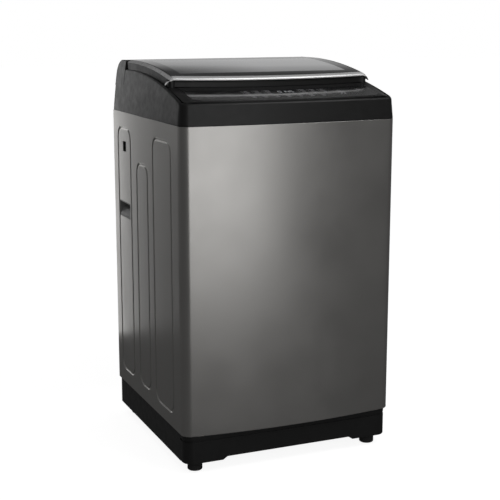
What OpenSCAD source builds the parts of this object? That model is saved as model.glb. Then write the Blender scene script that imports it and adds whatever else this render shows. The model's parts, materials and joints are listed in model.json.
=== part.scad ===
/* [Cabinet] */
// Width of the cabinet over its side panels
body_w = 560; // [555:1:570]
// Depth of the flat part of the side panels
side_depth = 525; // [520:1:535]
// How far the bowed front stands proud of the side panels
front_bow = 19.7; // [12:0.1:24]
// Radius of the two upright front corners
corner_r = 25; // [15:1:30]
// Thickness of the cabinet's steel sheet
sheet_t = 1.2; // [0.8:0.1:1.5]
// Depth of the pressed panels in the sides
press_depth = 2.5; // [1:0.1:4]

/* [Heights] */
// Height of the plinth's underside above the floor
foot_h = 26.4; // [24:0.1:30]
// Height of the joint between plinth and cabinet
base_top = 98; // [94:1:100]
// Height of the joint between cabinet and top cover
wrap_top = 840; // [836:1:844]
// Height of the front edge of the control panel
panel_front_z = 893; // [890:1:895]
// Height of the closed lid's flat crown
total_h = 973; // [972:0.5:974]

/* [Control panel] */
// Rise of the control panel per millimetre towards the lid
panel_slope = 0.2; // [0.18:0.01:0.22]
// Number of programme keys in the row
key_count = 7; // [7:7]
// Distance between neighbouring programme keys
key_pitch = 30; // [29:0.5:31]
// Width of a programme key
key_w = 18; // [12:1:20]

/* [Lid] */
// Half the width of the lid's flat top
lid_half = 255; // [250:1:256]
// Radius of the lid's fall towards the front
lid_crown_r = 640; // [600:5:700]
// Thickness of the glass
glass_t = 4; // [3:0.5:4]

/* [Tub and basket] */
// Outer radius of the tub
tub_r = 246; // [240:1:247]
// Outer radius of the spinning basket
basket_r = 228; // [220:1:229]
// Radius of the pulsator
pulsator_r = 172; // [160:1:180]

/* [Hidden] */
$fn = 64;

steel = [0.45, 0.44, 0.43];
black_plastic = [0.11, 0.11, 0.11];
gloss_black = [0.03, 0.03, 0.03];
grey_plastic = [0.35, 0.35, 0.35];
white_plastic = [0.85, 0.85, 0.84];
bright_metal = [0.75, 0.75, 0.76];
chrome = [0.9, 0.9, 0.9];
rubber = [0.06, 0.06, 0.06];

half_w = body_w / 2;
rear_y = side_depth / 2;
front_y = -rear_y - front_bow;
bow_r = (half_w * half_w + front_bow * front_bow) / (2 * front_bow);
bow_cy = front_y + bow_r;
corner_x = half_w - corner_r;
corner_y = bow_cy - sqrt(pow(bow_r - corner_r, 2) - corner_x * corner_x);
bow_end = atan2(corner_y - bow_cy, corner_x);

// Lid profile: flat to crown_y, then an arc that falls towards the front
crown_y = 50;
lid_front_y = -158;
lid_skirt_rear = 165;
lid_drop = 30;
bevel_out = 8;
bevel_down = 5;
hinge_y = 196;
hinge_z = total_h - 11.5;
hinge_r = 11;
tower_x = 253;
tower_y = 186;
pin_r = 4;

// Recess below the lid and the opening above the basket
recess_x = 264.5;
recess_front = -143;
deck_top = 905;
deck_t = 3;
throat_r = 190;
throat_front = -132;
throat_rear = 165;
throat_bottom = 866;
wall_t = 3;

panel_tilt = atan(panel_slope);
overlay_x = 243;
overlay_t = 2;
key_gap = 0.4;
key_row = 36;
power_x = 206;
power_row = 78;
start_x = 150;
start_row = 48;
display_x = 10;
display_row = 78;
display_w = 50;
display_h = 32;

// Suspension and drive
rod_x = 238;
rod_y = 215;
rod_r = 4;
rod_top = 812;
spring_bottom = 222;
spring_top = 292;
spring_r = 14.5;
wire_r = 1.6;
spring_turns = 5;
lug_z = 292.3;
tub_bottom = 250;
tub_top = 838;
basket_bottom = 285;
basket_top = 815;
shaft_r = 12;
wash_r = 7;
motor_x = 140;
pulley_z = 112;
pulley_h = 16;
pulley_r = 75;
motor_pulley_r = 22;
foot_x = 238;
foot_y = 223;
stud_r = 5;
run_gap = 0.06;
pump_x = -150;
pump_y = 60;
inlet_x = 170;
inlet_z = 925;
neck_r = 12;
outlet_x = -205;
outlet_z = 150;

function arc(cx, cy, r, from, to, steps) =
    [for (i = [0:steps]) let (a = from + (to - from) * i / steps) [cx + r * cos(a), cy + r * sin(a)]];

// Plan outline of the cabinet, moved in by e
function body_outline(e) = concat(
    arc(corner_x, corner_y, corner_r - e, 0, bow_end, 8),
    arc(0, bow_cy, bow_r - e, bow_end, -180 - bow_end, 20),
    arc(-corner_x, corner_y, corner_r - e, -180 - bow_end, -180, 8),
    [[-half_w + e, rear_y - e], [half_w - e, rear_y - e]]);

function lid_z(y) = y >= crown_y ? total_h
    : total_h - lid_crown_r + sqrt(lid_crown_r * lid_crown_r - pow(crown_y - y, 2));
function panel_z(y) = panel_front_z + panel_slope * (y - front_y - 3);

// Height of the top edge of the cover's side walls
function wall_top(y) = y > 162 ? 949.5 : y > -20 ? 945 + 4.5 * (1 - pow((162 - y) / 182, 2))
    : y > -252 ? 945 - 0.00106 * pow(-20 - y, 2) : 888;

module body_plan(e) { polygon(body_outline(e)); }

module body_prism(e, z0, z1) {
    translate([0, 0, z0]) linear_extrude(z1 - z0) body_plan(e);
}

module rounded_rect(w, h, r) {
    square([w - 2 * r, h], center = true);
    square([w, h - 2 * r], center = true);
    for (x = [-1, 1], y = [-1, 1]) translate([x * (w / 2 - r), y * (h / 2 - r)]) circle(r);
}

// A rounded plate in the YZ plane: its outer face at x, its thickness towards the middle
module side_plate(side, x, y0, y1, z0, z1, r, t) {
    translate([side > 0 ? x - t : -x, (y0 + y1) / 2, (z0 + z1) / 2])
        rotate([90, 0, 90]) linear_extrude(t) rounded_rect(y1 - y0, z1 - z0, r);
}

// Extrudes an outline drawn in (y, z) across the width from x0 to x1
module across(x0, x1) {
    translate([x0, 0, 0]) rotate([90, 0, 90]) linear_extrude(x1 - x0) children();
}

// Extrudes an outline drawn in (x, z) along the depth from y0 to y1
module along(y0, y1) {
    translate([0, y1, 0]) rotate([90, 0, 0]) linear_extrude(y1 - y0) children();
}

module tube(r_out, r_in, z0, z1) {
    translate([0, 0, z0]) difference() {
        cylinder(r = r_out, h = z1 - z0, $fn = 96);
        translate([0, 0, -1]) cylinder(r = r_in, h = z1 - z0 + 2, $fn = 96);
    }
}

module rod(r, z0, z1) { translate([0, 0, z0]) cylinder(r = r, h = z1 - z0); }

module at_corners(x, y) {
    for (sx = [-1, 1], sy = [-1, 1]) translate([sx * x, sy * y, 0]) children();
}

// Children drawn flat land on the control panel: x across, y up the slope from the front edge
module on_panel() {
    translate([0, front_y + 3, panel_front_z]) rotate([panel_tilt, 0, 0]) children();
}

// Pressed panels of one side: [rear edge..front edge, bottom, top]
side_panels = [[117, 222, 140, 799], [-18, 67, 141, 720], [-192, -62, 136, 797]];
panel_r = 24;
handle_y = [126, 221];
handle_z = [563, 605];
port_y = [154, 181];
port_z = [738, 765];

module wall_openings(side) {
    out = half_w + 1;
    side_plate(side, out, handle_y[0] + 1, handle_y[1] - 3, handle_z[0], handle_z[1], 4, 8);
    side_plate(side, out, port_y[0], port_y[1], port_z[0], port_z[1], 3, 8);
}

module cabinet_wrap() {
    color(steel) difference() {
        union() {
            difference() {
                body_prism(0, base_top, wrap_top);
                body_prism(sheet_t, base_top + sheet_t, wrap_top + 1);
                along(-rear_y - 4, rear_y + 1)
                    polygon([[-half_w + 20, 0], [half_w - 20, 0], [half_w - 20, total_h],
                        [-half_w + 20, total_h]]);
            }
            // front skin and the flange below it
            intersection() {
                difference() {
                    body_prism(0, base_top, wrap_top);
                    body_prism(sheet_t, base_top + sheet_t, wrap_top + 1);
                    translate([0, 60, base_top - 1]) cube([body_w - 50, side_depth + 100, 3], center = true);
                }
                translate([-half_w, front_y - 1, base_top - 1]) cube([body_w, 24 + front_bow, total_h]);
            }
            for (side = [-1, 1], p = side_panels)
                side_plate(side, half_w, p[0] - sheet_t, p[1] + sheet_t, p[2] - sheet_t, p[3] + sheet_t,
                    panel_r + sheet_t, press_depth + sheet_t);
        }
        for (side = [-1, 1], p = side_panels)
            side_plate(side, half_w + 1, p[0], p[1], p[2], p[3], panel_r, press_depth + 1);
        for (side = [-1, 1]) wall_openings(side);
    }
}

module rear_panel() {
    x = half_w - 4;
    color(steel) difference() {
        union() {
            translate([-x, rear_y, base_top + 2]) cube([2 * x, sheet_t, wrap_top - base_top - 4]);
            for (s = [-1, 0, 1]) translate([s * 150, rear_y + sheet_t, 500])
                rotate([90, 0, 0]) translate([0, 0, -press_depth]) linear_extrude(press_depth)
                rounded_rect(70, 560, 20);
        }
        for (s = [-1, 0, 1]) translate([s * 150, rear_y, 500])
            rotate([90, 0, 0]) translate([0, 0, -press_depth]) linear_extrude(press_depth + 1)
            rounded_rect(70 - 2 * sheet_t, 560 - 2 * sheet_t, 19);
        translate([outlet_x, rear_y - 1, outlet_z]) rotate([-90, 0, 0]) cylinder(r = 13, h = 5);
    }
}

base_in = 4.6;
base_t = 3.5;
plinth_y = -260.8;
plinth_seam = -224;

module base_plan(e) {
    intersection() {
        square([body_w - 2 * base_in - 2 * e, side_depth - 2 * base_in - 2 * e], center = true);
        translate([-half_w, plinth_seam]) square([body_w, side_depth]);
    }
}

module base_frame() {
    color(black_plastic) difference() {
        union() {
            difference() {
                translate([0, 0, foot_h]) linear_extrude(base_top - foot_h) base_plan(0);
                translate([0, 0, foot_h - 1]) linear_extrude(base_top - foot_h + 2)
                    square([body_w - 2 * base_in - 2 * base_t, 2 * (-plinth_seam - base_t)], center = true);
                translate([0, rear_y - 40, foot_h - 1]) linear_extrude(base_top)
                    square([body_w - 2 * base_in - 2 * base_t, 70], center = true);
            }
            at_corners(half_w - base_in - 34, foot_y - 9) translate([-34, -24, foot_h]) cube([68, 60, 24]);
            for (x = [-1, 1]) translate([x * 170 - 6, -rear_y + 40, foot_h]) cube([12, side_depth - 50, 40]);
        }
        at_corners(foot_x, foot_y) rod(stud_r + run_gap, foot_h - 1, base_top);
        // room for the side walls of the plinth cover
        for (side = [-1, 1]) translate([side * (half_w - base_in - wall_t + 49.6), plinth_seam - 50, foot_h])
            cube([100, 100, 200], center = true);
    }
}

module plinth_front_cover() {
    depth = plinth_seam - plinth_y;
    arch_in = 166;
    arch_out = 178;
    color(black_plastic) difference() {
        translate([0, 0, foot_h]) linear_extrude(base_top - foot_h - 0.2) intersection() {
            translate([0, plinth_y + 100]) rounded_rect(body_w - 2 * base_in, 200, corner_r);
            translate([-half_w, plinth_y - 1]) square([body_w, depth + 1 - 0.3]);
        }
        translate([0, 0, foot_h - 1]) linear_extrude(base_top) intersection() {
            translate([0, plinth_y + 100 + wall_t]) rounded_rect(body_w - 2 * base_in - 2 * wall_t, 200, 22);
            translate([-half_w, plinth_y - 1]) square([body_w, depth + 2]);
        }
        along(plinth_y - 1, plinth_y + 1.5)
            polygon([[-half_w + 32, 81], [half_w - 32, 81], [half_w - 32, 86], [-half_w + 32, 86]]);
        along(plinth_y - 1, plinth_y + wall_t + 1)
            polygon([[-arch_out, foot_h - 1], [-arch_in, foot_h + 7.5], [arch_in, foot_h + 7.5],
                [arch_out, foot_h - 1]]);
    }
}

module side_handle(side) {
    out = half_w - press_depth;
    y0 = handle_y[0] + 1.5;
    y1 = handle_y[1] - 3.5;
    deep = 26;
    color(grey_plastic) difference() {
        union() {
            side_plate(side, out + 1.6, y0 - 1, y1 + 1, handle_z[0] - 2, handle_z[1] + 2, 5, 1.4);
            side_plate(side, out + 1, y0, y1, handle_z[0] + 0.5, handle_z[1] - 0.5, 3.5, deep);
        }
        scale([side, 1, 1]) along(y0 + 2, y1 - 2)
            polygon([[out - deep + 3, handle_z[1] - 3], [out - deep + 3, handle_z[0] + 28],
                [out - 8, handle_z[0] + 22], [out + 3, handle_z[0] + 5], [out + 3, handle_z[1] - 3]]);
    }
}
module side_handle_left() { side_handle(-1); }
module side_handle_right() { side_handle(1); }

// Tapered flanks of the top cover, as half an outline in (x, z)
function flank(e) = [[half_w - e, wrap_top - 1], [half_w - e, wrap_top + 2], [half_w - 5 - e, panel_front_z],
    [268 - e, 945], [266 - e, total_h + 1]];
module flank_outline(e) {
    right = flank(e);
    polygon(concat(right, [for (i = [len(right) - 1:-1:0]) [-right[i][0], right[i][1]]]));
}

// Side view of the cover's walls, in (y, z)
module wall_profile() {
    steps = 24;
    edge_r = 8;
    rear_r = 38;
    tower_top = total_h - 1;
    polygon(concat(
        [[front_y - 1, wrap_top], [front_y - 1, panel_front_z - edge_r]],
        arc(front_y + 8, panel_front_z - edge_r, edge_r, 180, 100, 5),
        [[-245, panel_front_z]],
        [for (i = [0:steps]) let (y = -232 + (tower_y + 232) * i / steps) [y, wall_top(y)]],
        [[tower_y, tower_top]],
        arc(rear_y - rear_r, tower_top - rear_r, rear_r, 90, 0, 8),
        [[rear_y, wrap_top]]));
}

module opening_plan(e) {
    intersection() {
        circle(throat_r + e, $fn = 128);
        translate([-throat_r - 10, throat_front - e])
            square([2 * throat_r + 20, throat_rear - throat_front + 2 * e]);
    }
}

module panel_deck() {
    intersection() {
        body_prism(1, wrap_top, total_h);
        across(-recess_x - 2, recess_x + 2) polygon([[front_y, panel_front_z - 1], [front_y + 3, panel_front_z],
            [recess_front + 3, panel_z(recess_front + 3)], [recess_front + 3, deck_top - deck_t],
            [recess_front, deck_top - deck_t], [recess_front, panel_z(recess_front) - 4],
            [front_y + 3, panel_front_z - 5], [front_y, panel_front_z - 6]]);
    }
}

module panel_cutouts() {
    on_panel() {
        translate([0, 0, -overlay_t]) linear_extrude(10) overlay_plan(0.2);
        for (i = [0:key_count - 1]) translate([key_x(i), key_row, -20]) cylinder(r = 4, h = 30);
        translate([power_x, power_row, -20]) cylinder(r = 5, h = 30);
        translate([start_x, start_row, -20]) cylinder(r = 5, h = 30);
        translate([display_x, display_row, -20]) linear_extrude(30) square([display_w - 4, display_h - 4], center = true);
    }
}

module top_cover() {
    color(black_plastic) difference() {
        union() {
            intersection() {
                union() {
                    difference() {
                        body_prism(0, wrap_top + 0.2, total_h);
                        intersection() {
                            body_prism(wall_t, wrap_top, total_h + 1);
                            along(front_y - 1, rear_y + 1) flank_outline(wall_t);
                        }
                    }
                    for (side = [-1, 1]) translate([side * (tower_x + 8) - 8, tower_y, 900])
                        cube([16, rear_y - tower_y, total_h - 900]);
                }
                along(front_y - 1, rear_y + 1) flank_outline(0);
                across(-half_w, half_w) wall_profile();
            }
            panel_deck();
            difference() {
                translate([-recess_x - 2, recess_front, deck_top - deck_t])
                    cube([2 * recess_x + 4, rear_y - recess_front - 1, deck_t]);
                translate([0, 0, 800]) linear_extrude(200) opening_plan(0);
            }
            translate([0, 0, throat_bottom]) linear_extrude(deck_top - throat_bottom) difference() {
                opening_plan(wall_t);
                opening_plan(0);
            }
        }
        panel_cutouts();
        translate([-half_w, 0, 0]) rotate([0, 90, 0]) translate([-hinge_z, hinge_y, half_w - tower_x - 9])
            cylinder(r = pin_r + run_gap, h = 2 * tower_x + 18);
        translate([-drawer_x - 3, throat_rear - 1, drawer_z0 - 2.5])
            cube([2 * drawer_x + 6, 6, deck_top - deck_t - drawer_z0 + 2.5]);
        translate([inlet_x, rear_y - 5, inlet_z]) rotate([-90, 0, 0]) cylinder(r = 14, h = 10);
        translate([-inlet_x, rear_y - 5, inlet_z]) rotate([-90, 0, 0]) cylinder(r = 9, h = 10);
    }
}

module rear_cover() {
    x = tower_x - 0.6;
    y0 = hinge_y + hinge_r + 6;
    top = total_h - 1;
    r = 38;
    module profile(e) {
        polygon(concat([[y0 + e, deck_top + (e > 0 ? -1 : 0)], [y0 + e, top - 4 - e], [y0 + 4 + e, top - e]],
            arc(rear_y - wall_t - 0.3 - r, top - r, r - e, 90, 0, 8),
            [[rear_y - wall_t - 0.3 - e, deck_top + (e > 0 ? -1 : 0)]]));
    }
    color(black_plastic) difference() {
        across(-x, x) profile(0);
        across(-x + 2.5, x - 2.5) profile(2.5);
        translate([inlet_x, rear_y - 12, inlet_z]) rotate([-90, 0, 0]) cylinder(r = neck_r + 0.6, h = 20);
    }
}

// Outline of the glossy control overlay: its front edge follows the cabinet's bow
module overlay_plan(e) {
    r = 25;
    rear = (recess_front - 1 - front_y - 3) / cos(panel_tilt);
    intersection() {
        translate([0, bow_r + 13 - e]) circle(bow_r, $fn = 720);
        union() {
            translate([-overlay_x - e, r + 16]) square([2 * (overlay_x + e), rear - r - 16]);
            translate([-overlay_x + r, 5]) square([2 * (overlay_x - r), rear - 5]);
            for (side = [-1, 1]) translate([side * (overlay_x - r), r + 18.5]) circle(r + e);
        }
    }
}

function key_x(i) = (i - (key_count - 1) / 2) * key_pitch + 2;

module control_overlay() {
    color(gloss_black) on_panel() difference() {
        translate([0, 0, -overlay_t + 0.05]) linear_extrude(overlay_t) overlay_plan(-0.1);
        for (i = [0:key_count - 1]) translate([key_x(i), key_row, -5]) linear_extrude(10)
            rounded_rect(key_w + 2 * key_gap, 9 + 2 * key_gap, 2 + key_gap);
        translate([power_x, power_row, -5]) cylinder(r = 9 + key_gap, h = 10);
        translate([start_x, start_row, -5]) linear_extrude(10)
            rounded_rect(34 + 2 * key_gap, 12 + 2 * key_gap, 5 + key_gap);
        translate([display_x, display_row, -5]) linear_extrude(10) rounded_rect(display_w, display_h, 3);
    }
}

module display_window() {
    color(gloss_black) on_panel() translate([display_x, display_row, -overlay_t + 0.05])
        linear_extrude(overlay_t) rounded_rect(display_w - 0.4, display_h - 0.4, 2.8);
}

// Every key is a cap in the overlay with a stem that reaches the switch below
module key_cap(x, v, stem_r) {
    on_panel() translate([x, v, 0]) {
        translate([0, 0, -overlay_t + 0.9]) children();
        translate([0, 0, -9]) cylinder(r = stem_r, h = 9 - overlay_t + 1);
    }
}
module programme_key(i) {
    color(gloss_black) key_cap(key_x(i), key_row, 2.5) linear_extrude(1.3) rounded_rect(key_w, 9, 2);
}
module key_1() { programme_key(0); }
module key_2() { programme_key(1); }
module key_3() { programme_key(2); }
module key_4() { programme_key(3); }
module key_5() { programme_key(4); }
module key_6() { programme_key(5); }
module key_7() { programme_key(6); }
module power_key() { color(gloss_black) key_cap(power_x, power_row, 3) cylinder(r = 9, h = 1.3); }
module start_key() {
    color(gloss_black) key_cap(start_x, start_row, 3) linear_extrude(1.3) rounded_rect(34, 12, 5);
}

module control_board() {
    board_z = -13;
    color([0.1, 0.35, 0.2]) on_panel() {
        translate([-100, 20, board_z]) cube([330, 76, 1.6]);
        for (i = [0:key_count - 1]) translate([key_x(i) - 3, key_row - 3, board_z + 1]) cube([6, 6, 2.6 - 1]);
        translate([power_x - 3, power_row - 3, board_z + 1]) cube([6, 6, 1.6]);
        translate([start_x - 3, start_row - 3, board_z + 1]) cube([6, 6, 1.6]);
        translate([display_x - 21, display_row - 12, board_z + 1]) cube([42, 24, 8]);
        translate([70, 74, board_z + 1]) cube([26, 16, 5]);
    }
}

module lid_sensor() {
    color(white_plastic) translate([225, -128, deck_top]) cube([24, 12, 9]);
}

module inlet_valve() {
    color(white_plastic) {
        translate([inlet_x - 20, 222, inlet_z - 17]) cube([40, 34, 34]);
        translate([inlet_x, rear_y, inlet_z]) rotate([-90, 0, 0]) difference() {
            union() {
                translate([0, 0, -22]) cylinder(r = neck_r, h = 24);
                translate([0, 0, 1]) cylinder(r = 13.2, h = -front_y - rear_y - 1);
            }
            translate([0, 0, -6]) cylinder(r = 9, h = 60);
        }
        translate([inlet_x - 48, 232, inlet_z - 10]) cube([30, 14, 20]);
    }
}

drawer_x = 80;
drawer_z0 = 870;
drawer_y1 = 248;

module dispenser_housing() {
    w = drawer_x + 4;
    color(white_plastic) difference() {
        translate([-w, throat_rear + wall_t + 0.2, drawer_z0 - 3]) cube([2 * w, 85, deck_top - deck_t - drawer_z0 + 2.8]);
        translate([-drawer_x - 1.2, throat_rear, drawer_z0 - 0.8]) cube([2 * drawer_x + 2.4, 84.5, 28]);
    }
}

module detergent_drawer() {
    color(white_plastic) difference() {
        union() {
            translate([-drawer_x, throat_rear - 3, drawer_z0]) cube([2 * drawer_x, drawer_y1 - throat_rear + 3, 25]);
            translate([-drawer_x - 1.5, throat_rear - 7, drawer_z0 - 1.5]) cube([2 * drawer_x + 3, 5, 30]);
        }
        translate([-drawer_x + 2, throat_rear, drawer_z0 + 2])
            cube([1.25 * drawer_x - 2, drawer_y1 - throat_rear - 2, 30]);
        translate([0.25 * drawer_x + 2, throat_rear, drawer_z0 + 2])
            cube([0.75 * drawer_x - 4, drawer_y1 - throat_rear - 2, 30]);
        translate([-22, throat_rear - 9, drawer_z0 + 12]) cube([44, 5, 12]);
    }
}

module pressure_sensor() {
    color(white_plastic) translate([-225, 225, 826]) {
        cylinder(r = 22, h = 18);
        rod(4, -16, 1);
        // bracket that reaches the rear panel
        translate([-8, 15, 6]) cube([16, rear_y - 240.2, 5]);
    }
}

module cord_gland() {
    color(rubber) translate([-inlet_x, rear_y, inlet_z]) rotate([90, 0, 0]) difference() {
        union() {
            translate([0, 0, -6]) cylinder(r = 12, h = 6);
            translate([0, 0, -0.5]) cylinder(r = 8.9, h = 3.7);
        }
        translate([0, 0, -10]) cylinder(r = 4.2, h = 30);
    }
}

module drain_outlet() {
    color(grey_plastic) translate([outlet_x, rear_y, outlet_z]) rotate([-90, 0, 0]) difference() {
        union() {
            translate([0, 0, -40]) cylinder(r = 11.6, h = 43);
            translate([0, 0, sheet_t + 0.1]) cylinder(r = 17, h = 3);
            translate([0, 0, sheet_t + 3]) cylinder(r = 12.5, h = -front_y - rear_y - sheet_t - 3.2);
        }
        translate([0, 0, -41]) cylinder(r = 9.5, h = 70);
    }
}

module cabinet_screws() {
    color(bright_metal) {
        for (x = [-262, 262], z = [150, 320, 490, 660, 820]) translate([x, rear_y + sheet_t, z])
            rotate([-90, 0, 0]) cylinder(r = 4, h = 2.4);
        for (x = [-220, 0, 220]) translate([x, rear_y + sheet_t, 832]) rotate([-90, 0, 0]) cylinder(r = 4, h = 2.4);
    }
}

module foot() {
    color(rubber) {
        difference() {
            rod(18.5, 0, 19.8);
            rod(6, -1, 2);
        }
        rod(stud_r, 19, 62);
    }
}
module foot_front_left() { translate([-foot_x, -foot_y, 0]) foot(); }
module foot_front_right() { translate([foot_x, -foot_y, 0]) foot(); }
module foot_rear_left() { translate([-foot_x, foot_y, 0]) foot(); }
module foot_rear_right() { translate([foot_x, foot_y, 0]) foot(); }

module foot_lock_nuts() {
    color(bright_metal) at_corners(foot_x, foot_y) difference() {
        translate([0, 0, 20.2]) cylinder(r = 9.8, h = foot_h - 20.2, $fn = 6);
        rod(stud_r + run_gap, 10, 40);
    }
}

// Lid shell: cross-sections across the width, swept from front to rear
function lid_section(y, e) = let (z = lid_z(y)) [
    [-lid_half - bevel_out + e, y, z - lid_drop - (e > 0 ? 1 : 0)], [-lid_half - bevel_out + e, y, z - bevel_down - e / 2],
    [-lid_half + e / 2, y, z - e], [lid_half - e / 2, y, z - e],
    [lid_half + bevel_out - e, y, z - bevel_down - e / 2],
    [lid_half + bevel_out - e, y, z - lid_drop - (e > 0 ? 1 : 0)]];

module lid_loft(e, y0, y1) {
    steps = 20;
    n = 6;
    ys = [for (i = [0:steps]) y0 + (y1 - y0) * i / steps];
    points = [for (y = ys) each lid_section(y, e)];
    rings = [for (i = [0:steps - 1], k = [0:n - 1]) let (a = i * n + k, b = i * n + (k + 1) % n) [b, a, a + n, b + n]];
    polyhedron(points, concat([[for (k = [0:n - 1]) k]], rings, [[for (k = [n - 1:-1:0]) steps * n + k]]));
}

// Everything behind the lid's bowed front edge, which lies d behind the handle's face
module behind_front(d) {
    translate([0, lid_front_y + bow_r + d, 800]) cylinder(r = bow_r, h = 300, $fn = 720);
}

window_x = 222;
window_front = 40;
window_rear = 116;
lid_wall = 3;
glass_front = 14;
glass_rear = 184;

module lid_frame() {
    color(black_plastic) difference() {
        union() {
            intersection() {
                difference() {
                    lid_loft(0, lid_front_y - 4, lid_skirt_rear);
                    intersection() {
                        lid_loft(lid_wall + glass_t, lid_front_y - 8, lid_skirt_rear + 5);
                        behind_front(5);
                    }
                }
                behind_front(1);
                across(-half_w, half_w) polygon([[lid_front_y - 10, 927.5], [lid_front_y + 30, 924], [-80, 922],
                    [0, 930], [rear_y, 935], [rear_y, total_h], [lid_front_y - 10, total_h]]);
            }
            across(-tower_x + 2, tower_x - 2) polygon([[lid_skirt_rear - 6, total_h - glass_t - lid_wall],
                [lid_skirt_rear - 6, total_h], [hinge_y, total_h - 0.5], [hinge_y, total_h - glass_t - lid_wall]]);
            translate([-tower_x + 2, hinge_y, hinge_z]) rotate([0, 90, 0]) cylinder(r = hinge_r, h = 2 * tower_x - 4);
        }
        // seat of the glass, and the window below it
        intersection() {
            translate([-lid_half + 3, -400, 900]) cube([2 * lid_half - 6, 400 + glass_rear, 100]);
            lid_top_skin(-1);
            behind_front(glass_front);
        }
        intersection() {
            translate([0, (window_rear - 160) / 2, 900]) linear_extrude(100)
                rounded_rect(2 * window_x, window_rear + 160, panel_r);
            behind_front(window_front);
        }
        translate([-tower_x - 2, hinge_y, hinge_z]) rotate([0, 90, 0]) cylinder(r = pin_r, h = 2 * tower_x + 4);
        lid_trim();
    }
}

// The top layer of the lid, glass_t thick, lifted by up
module lid_top_skin(up) {
    t = glass_t;
    across(-half_w, half_w) polygon(concat(
        [for (i = [0:20]) let (y = -170 + i * 11) [y, lid_z(y) - t]], [[rear_y, total_h - t], [rear_y, total_h + 5]],
        up < 0 ? [[-170, total_h + 5]] : [for (i = [20:-1:0]) let (y = -170 + i * 11) [y, lid_z(y)]]));
}

module lid_glass() {
    color([0.2, 0.2, 0.2, 0.6]) intersection() {
        translate([-lid_half + 3.3, -400, 900]) cube([2 * lid_half - 6.6, 400 + glass_rear - 0.3, total_h - 900]);
        lid_top_skin(1);
        behind_front(glass_front + 0.3);
    }
}

// Bright handle strip along the front edge, wrapped down over the two corners
module lid_trim() {
    color(chrome) intersection() {
        difference() {
            behind_front(0);
            behind_front(glass_front - 0.3);
        }
        difference() {
            lid_loft(-0.6, lid_front_y - 4, lid_front_y + 40);
            lid_loft(1.2, lid_front_y - 6, lid_front_y + 44);
        }
        across(-half_w, half_w) polygon([[lid_front_y - 8, 937], [-120, 928], [-110, 975], [lid_front_y - 8, 975]]);
    }
}

module lid_hinge_pins() {
    color(bright_metal) for (side = [-1, 1]) translate([side * (tower_x - 4) - 10.5, hinge_y, hinge_z])
        rotate([0, 90, 0]) cylinder(r = pin_r, h = 21);
}

module lid_bumpers() {
    color(rubber) for (side = [-1, 1]) translate([side * 245, -100, 0]) difference() {
        rod(6, deck_top, 925);
        rod(3, 915, 930);
    }
}

// Helical compression spring, swept as one tube
module coil_spring(r, wire, z0, z1, turns) {
    sides = 6;
    per_turn = 12;
    steps = turns * per_turn;
    h = z1 - z0 - 2 * wire;
    points = [for (i = [0:steps]) let (a = 360 * i / per_turn, z = z0 + wire + h * i / steps)
        each [for (k = [0:sides - 1]) let (b = 360 * k / sides, q = r + wire * cos(b))
            [q * cos(a), q * sin(a), z + wire * sin(b)]]];
    rings = [for (i = [0:steps - 1], k = [0:sides - 1])
        let (p = i * sides + k, q = i * sides + (k + 1) % sides) [p, q, q + sides, p + sides]];
    polyhedron(points, concat([[for (k = [sides - 1:-1:0]) k]], rings,
        [[for (k = [0:sides - 1]) steps * sides + k]]));
}

module suspension_springs() {
    color(bright_metal) at_corners(rod_x, rod_y) coil_spring(spring_r, wire_r, spring_bottom, spring_top, spring_turns);
}

module suspension_rods() {
    color(bright_metal) at_corners(rod_x, rod_y) {
        rod(rod_r, spring_bottom - 10, rod_top);
        rod(18, spring_bottom - 5, spring_bottom);
        translate([0, 0, rod_top]) sphere(r = 9);
    }
}

brace_z = 800;
module corner_braces() {
    color(steel) for (sx = [-1, 1], sy = [-1, 1]) scale([sx, sy, 1]) difference() {
        union() {
            translate([0, 0, brace_z]) linear_extrude(3) polygon([[205, 258], [250, 258], [half_w - 5, 233],
                [half_w - 5, 185], [262, 185], [205, 242]]);
            translate([rod_x, rod_y, 0]) rod(14, brace_z, brace_z + 8);
        }
        translate([rod_x, rod_y, 0]) {
            rod(rod_r + 2, brace_z - 1, brace_z + 20);
            translate([0, 0, rod_top]) sphere(r = 9.05);
        }
    }
}

module outer_tub() {
    color(white_plastic) difference() {
        union() {
            tube(tub_r, tub_r - wall_t, tub_bottom, tub_top);
            tube(tub_r - 1, 26, tub_bottom, tub_bottom + 4);
            tube(44, 26, tub_bottom - 8, tub_bottom + 18);
            for (a = [15:30:345]) rotate([0, 0, a]) translate([42, -1.5, tub_bottom - 8]) cube([200, 3, 10]);
            for (sx = [-1, 1], sy = [-1, 1]) {
                translate([sx * rod_x, sy * rod_y, 0]) rod(17, lug_z, lug_z + 10);
                rotate([0, 0, atan2(sy * rod_y, sx * rod_x)]) translate([tub_r - 2, -14, lug_z])
                    cube([norm([rod_x, rod_y]) - tub_r - 8, 28, 10]);
            }
        }
        at_corners(rod_x, rod_y) rod(rod_r + 5, lug_z - 1, lug_z + 20);
        translate([pump_x, pump_y, 0]) rod(14, tub_bottom - 20, tub_bottom + 10);
    }
}

module tub_ring_cover() {
    color(white_plastic) {
        tube(tub_r + 3, 203, tub_top + 0.2, tub_top + 4);
        tube(tub_r + 3, tub_r + 0.3, tub_top - 10, tub_top + 1);
        tube(206, 203, tub_top + 3, tub_top + 12);
    }
}

module basket() {
    rows = 7;
    columns = 18;
    color(bright_metal) difference() {
        union() {
            tube(basket_r, basket_r - 1.2, basket_bottom + 10, basket_top - 25);
            tube(basket_r - 1, 58, basket_bottom + 10, basket_bottom + 12);
        }
        for (r = [0:rows - 1], c = [0:columns - 1])
            rotate([0, 0, 360 * (c + (r % 2) / 2) / columns])
            translate([basket_r - 5, 0, basket_bottom + 70 + r * 58]) rotate([0, 90, 0]) cylinder(r = 4, h = 10, $fn = 6);
    }
}

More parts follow.
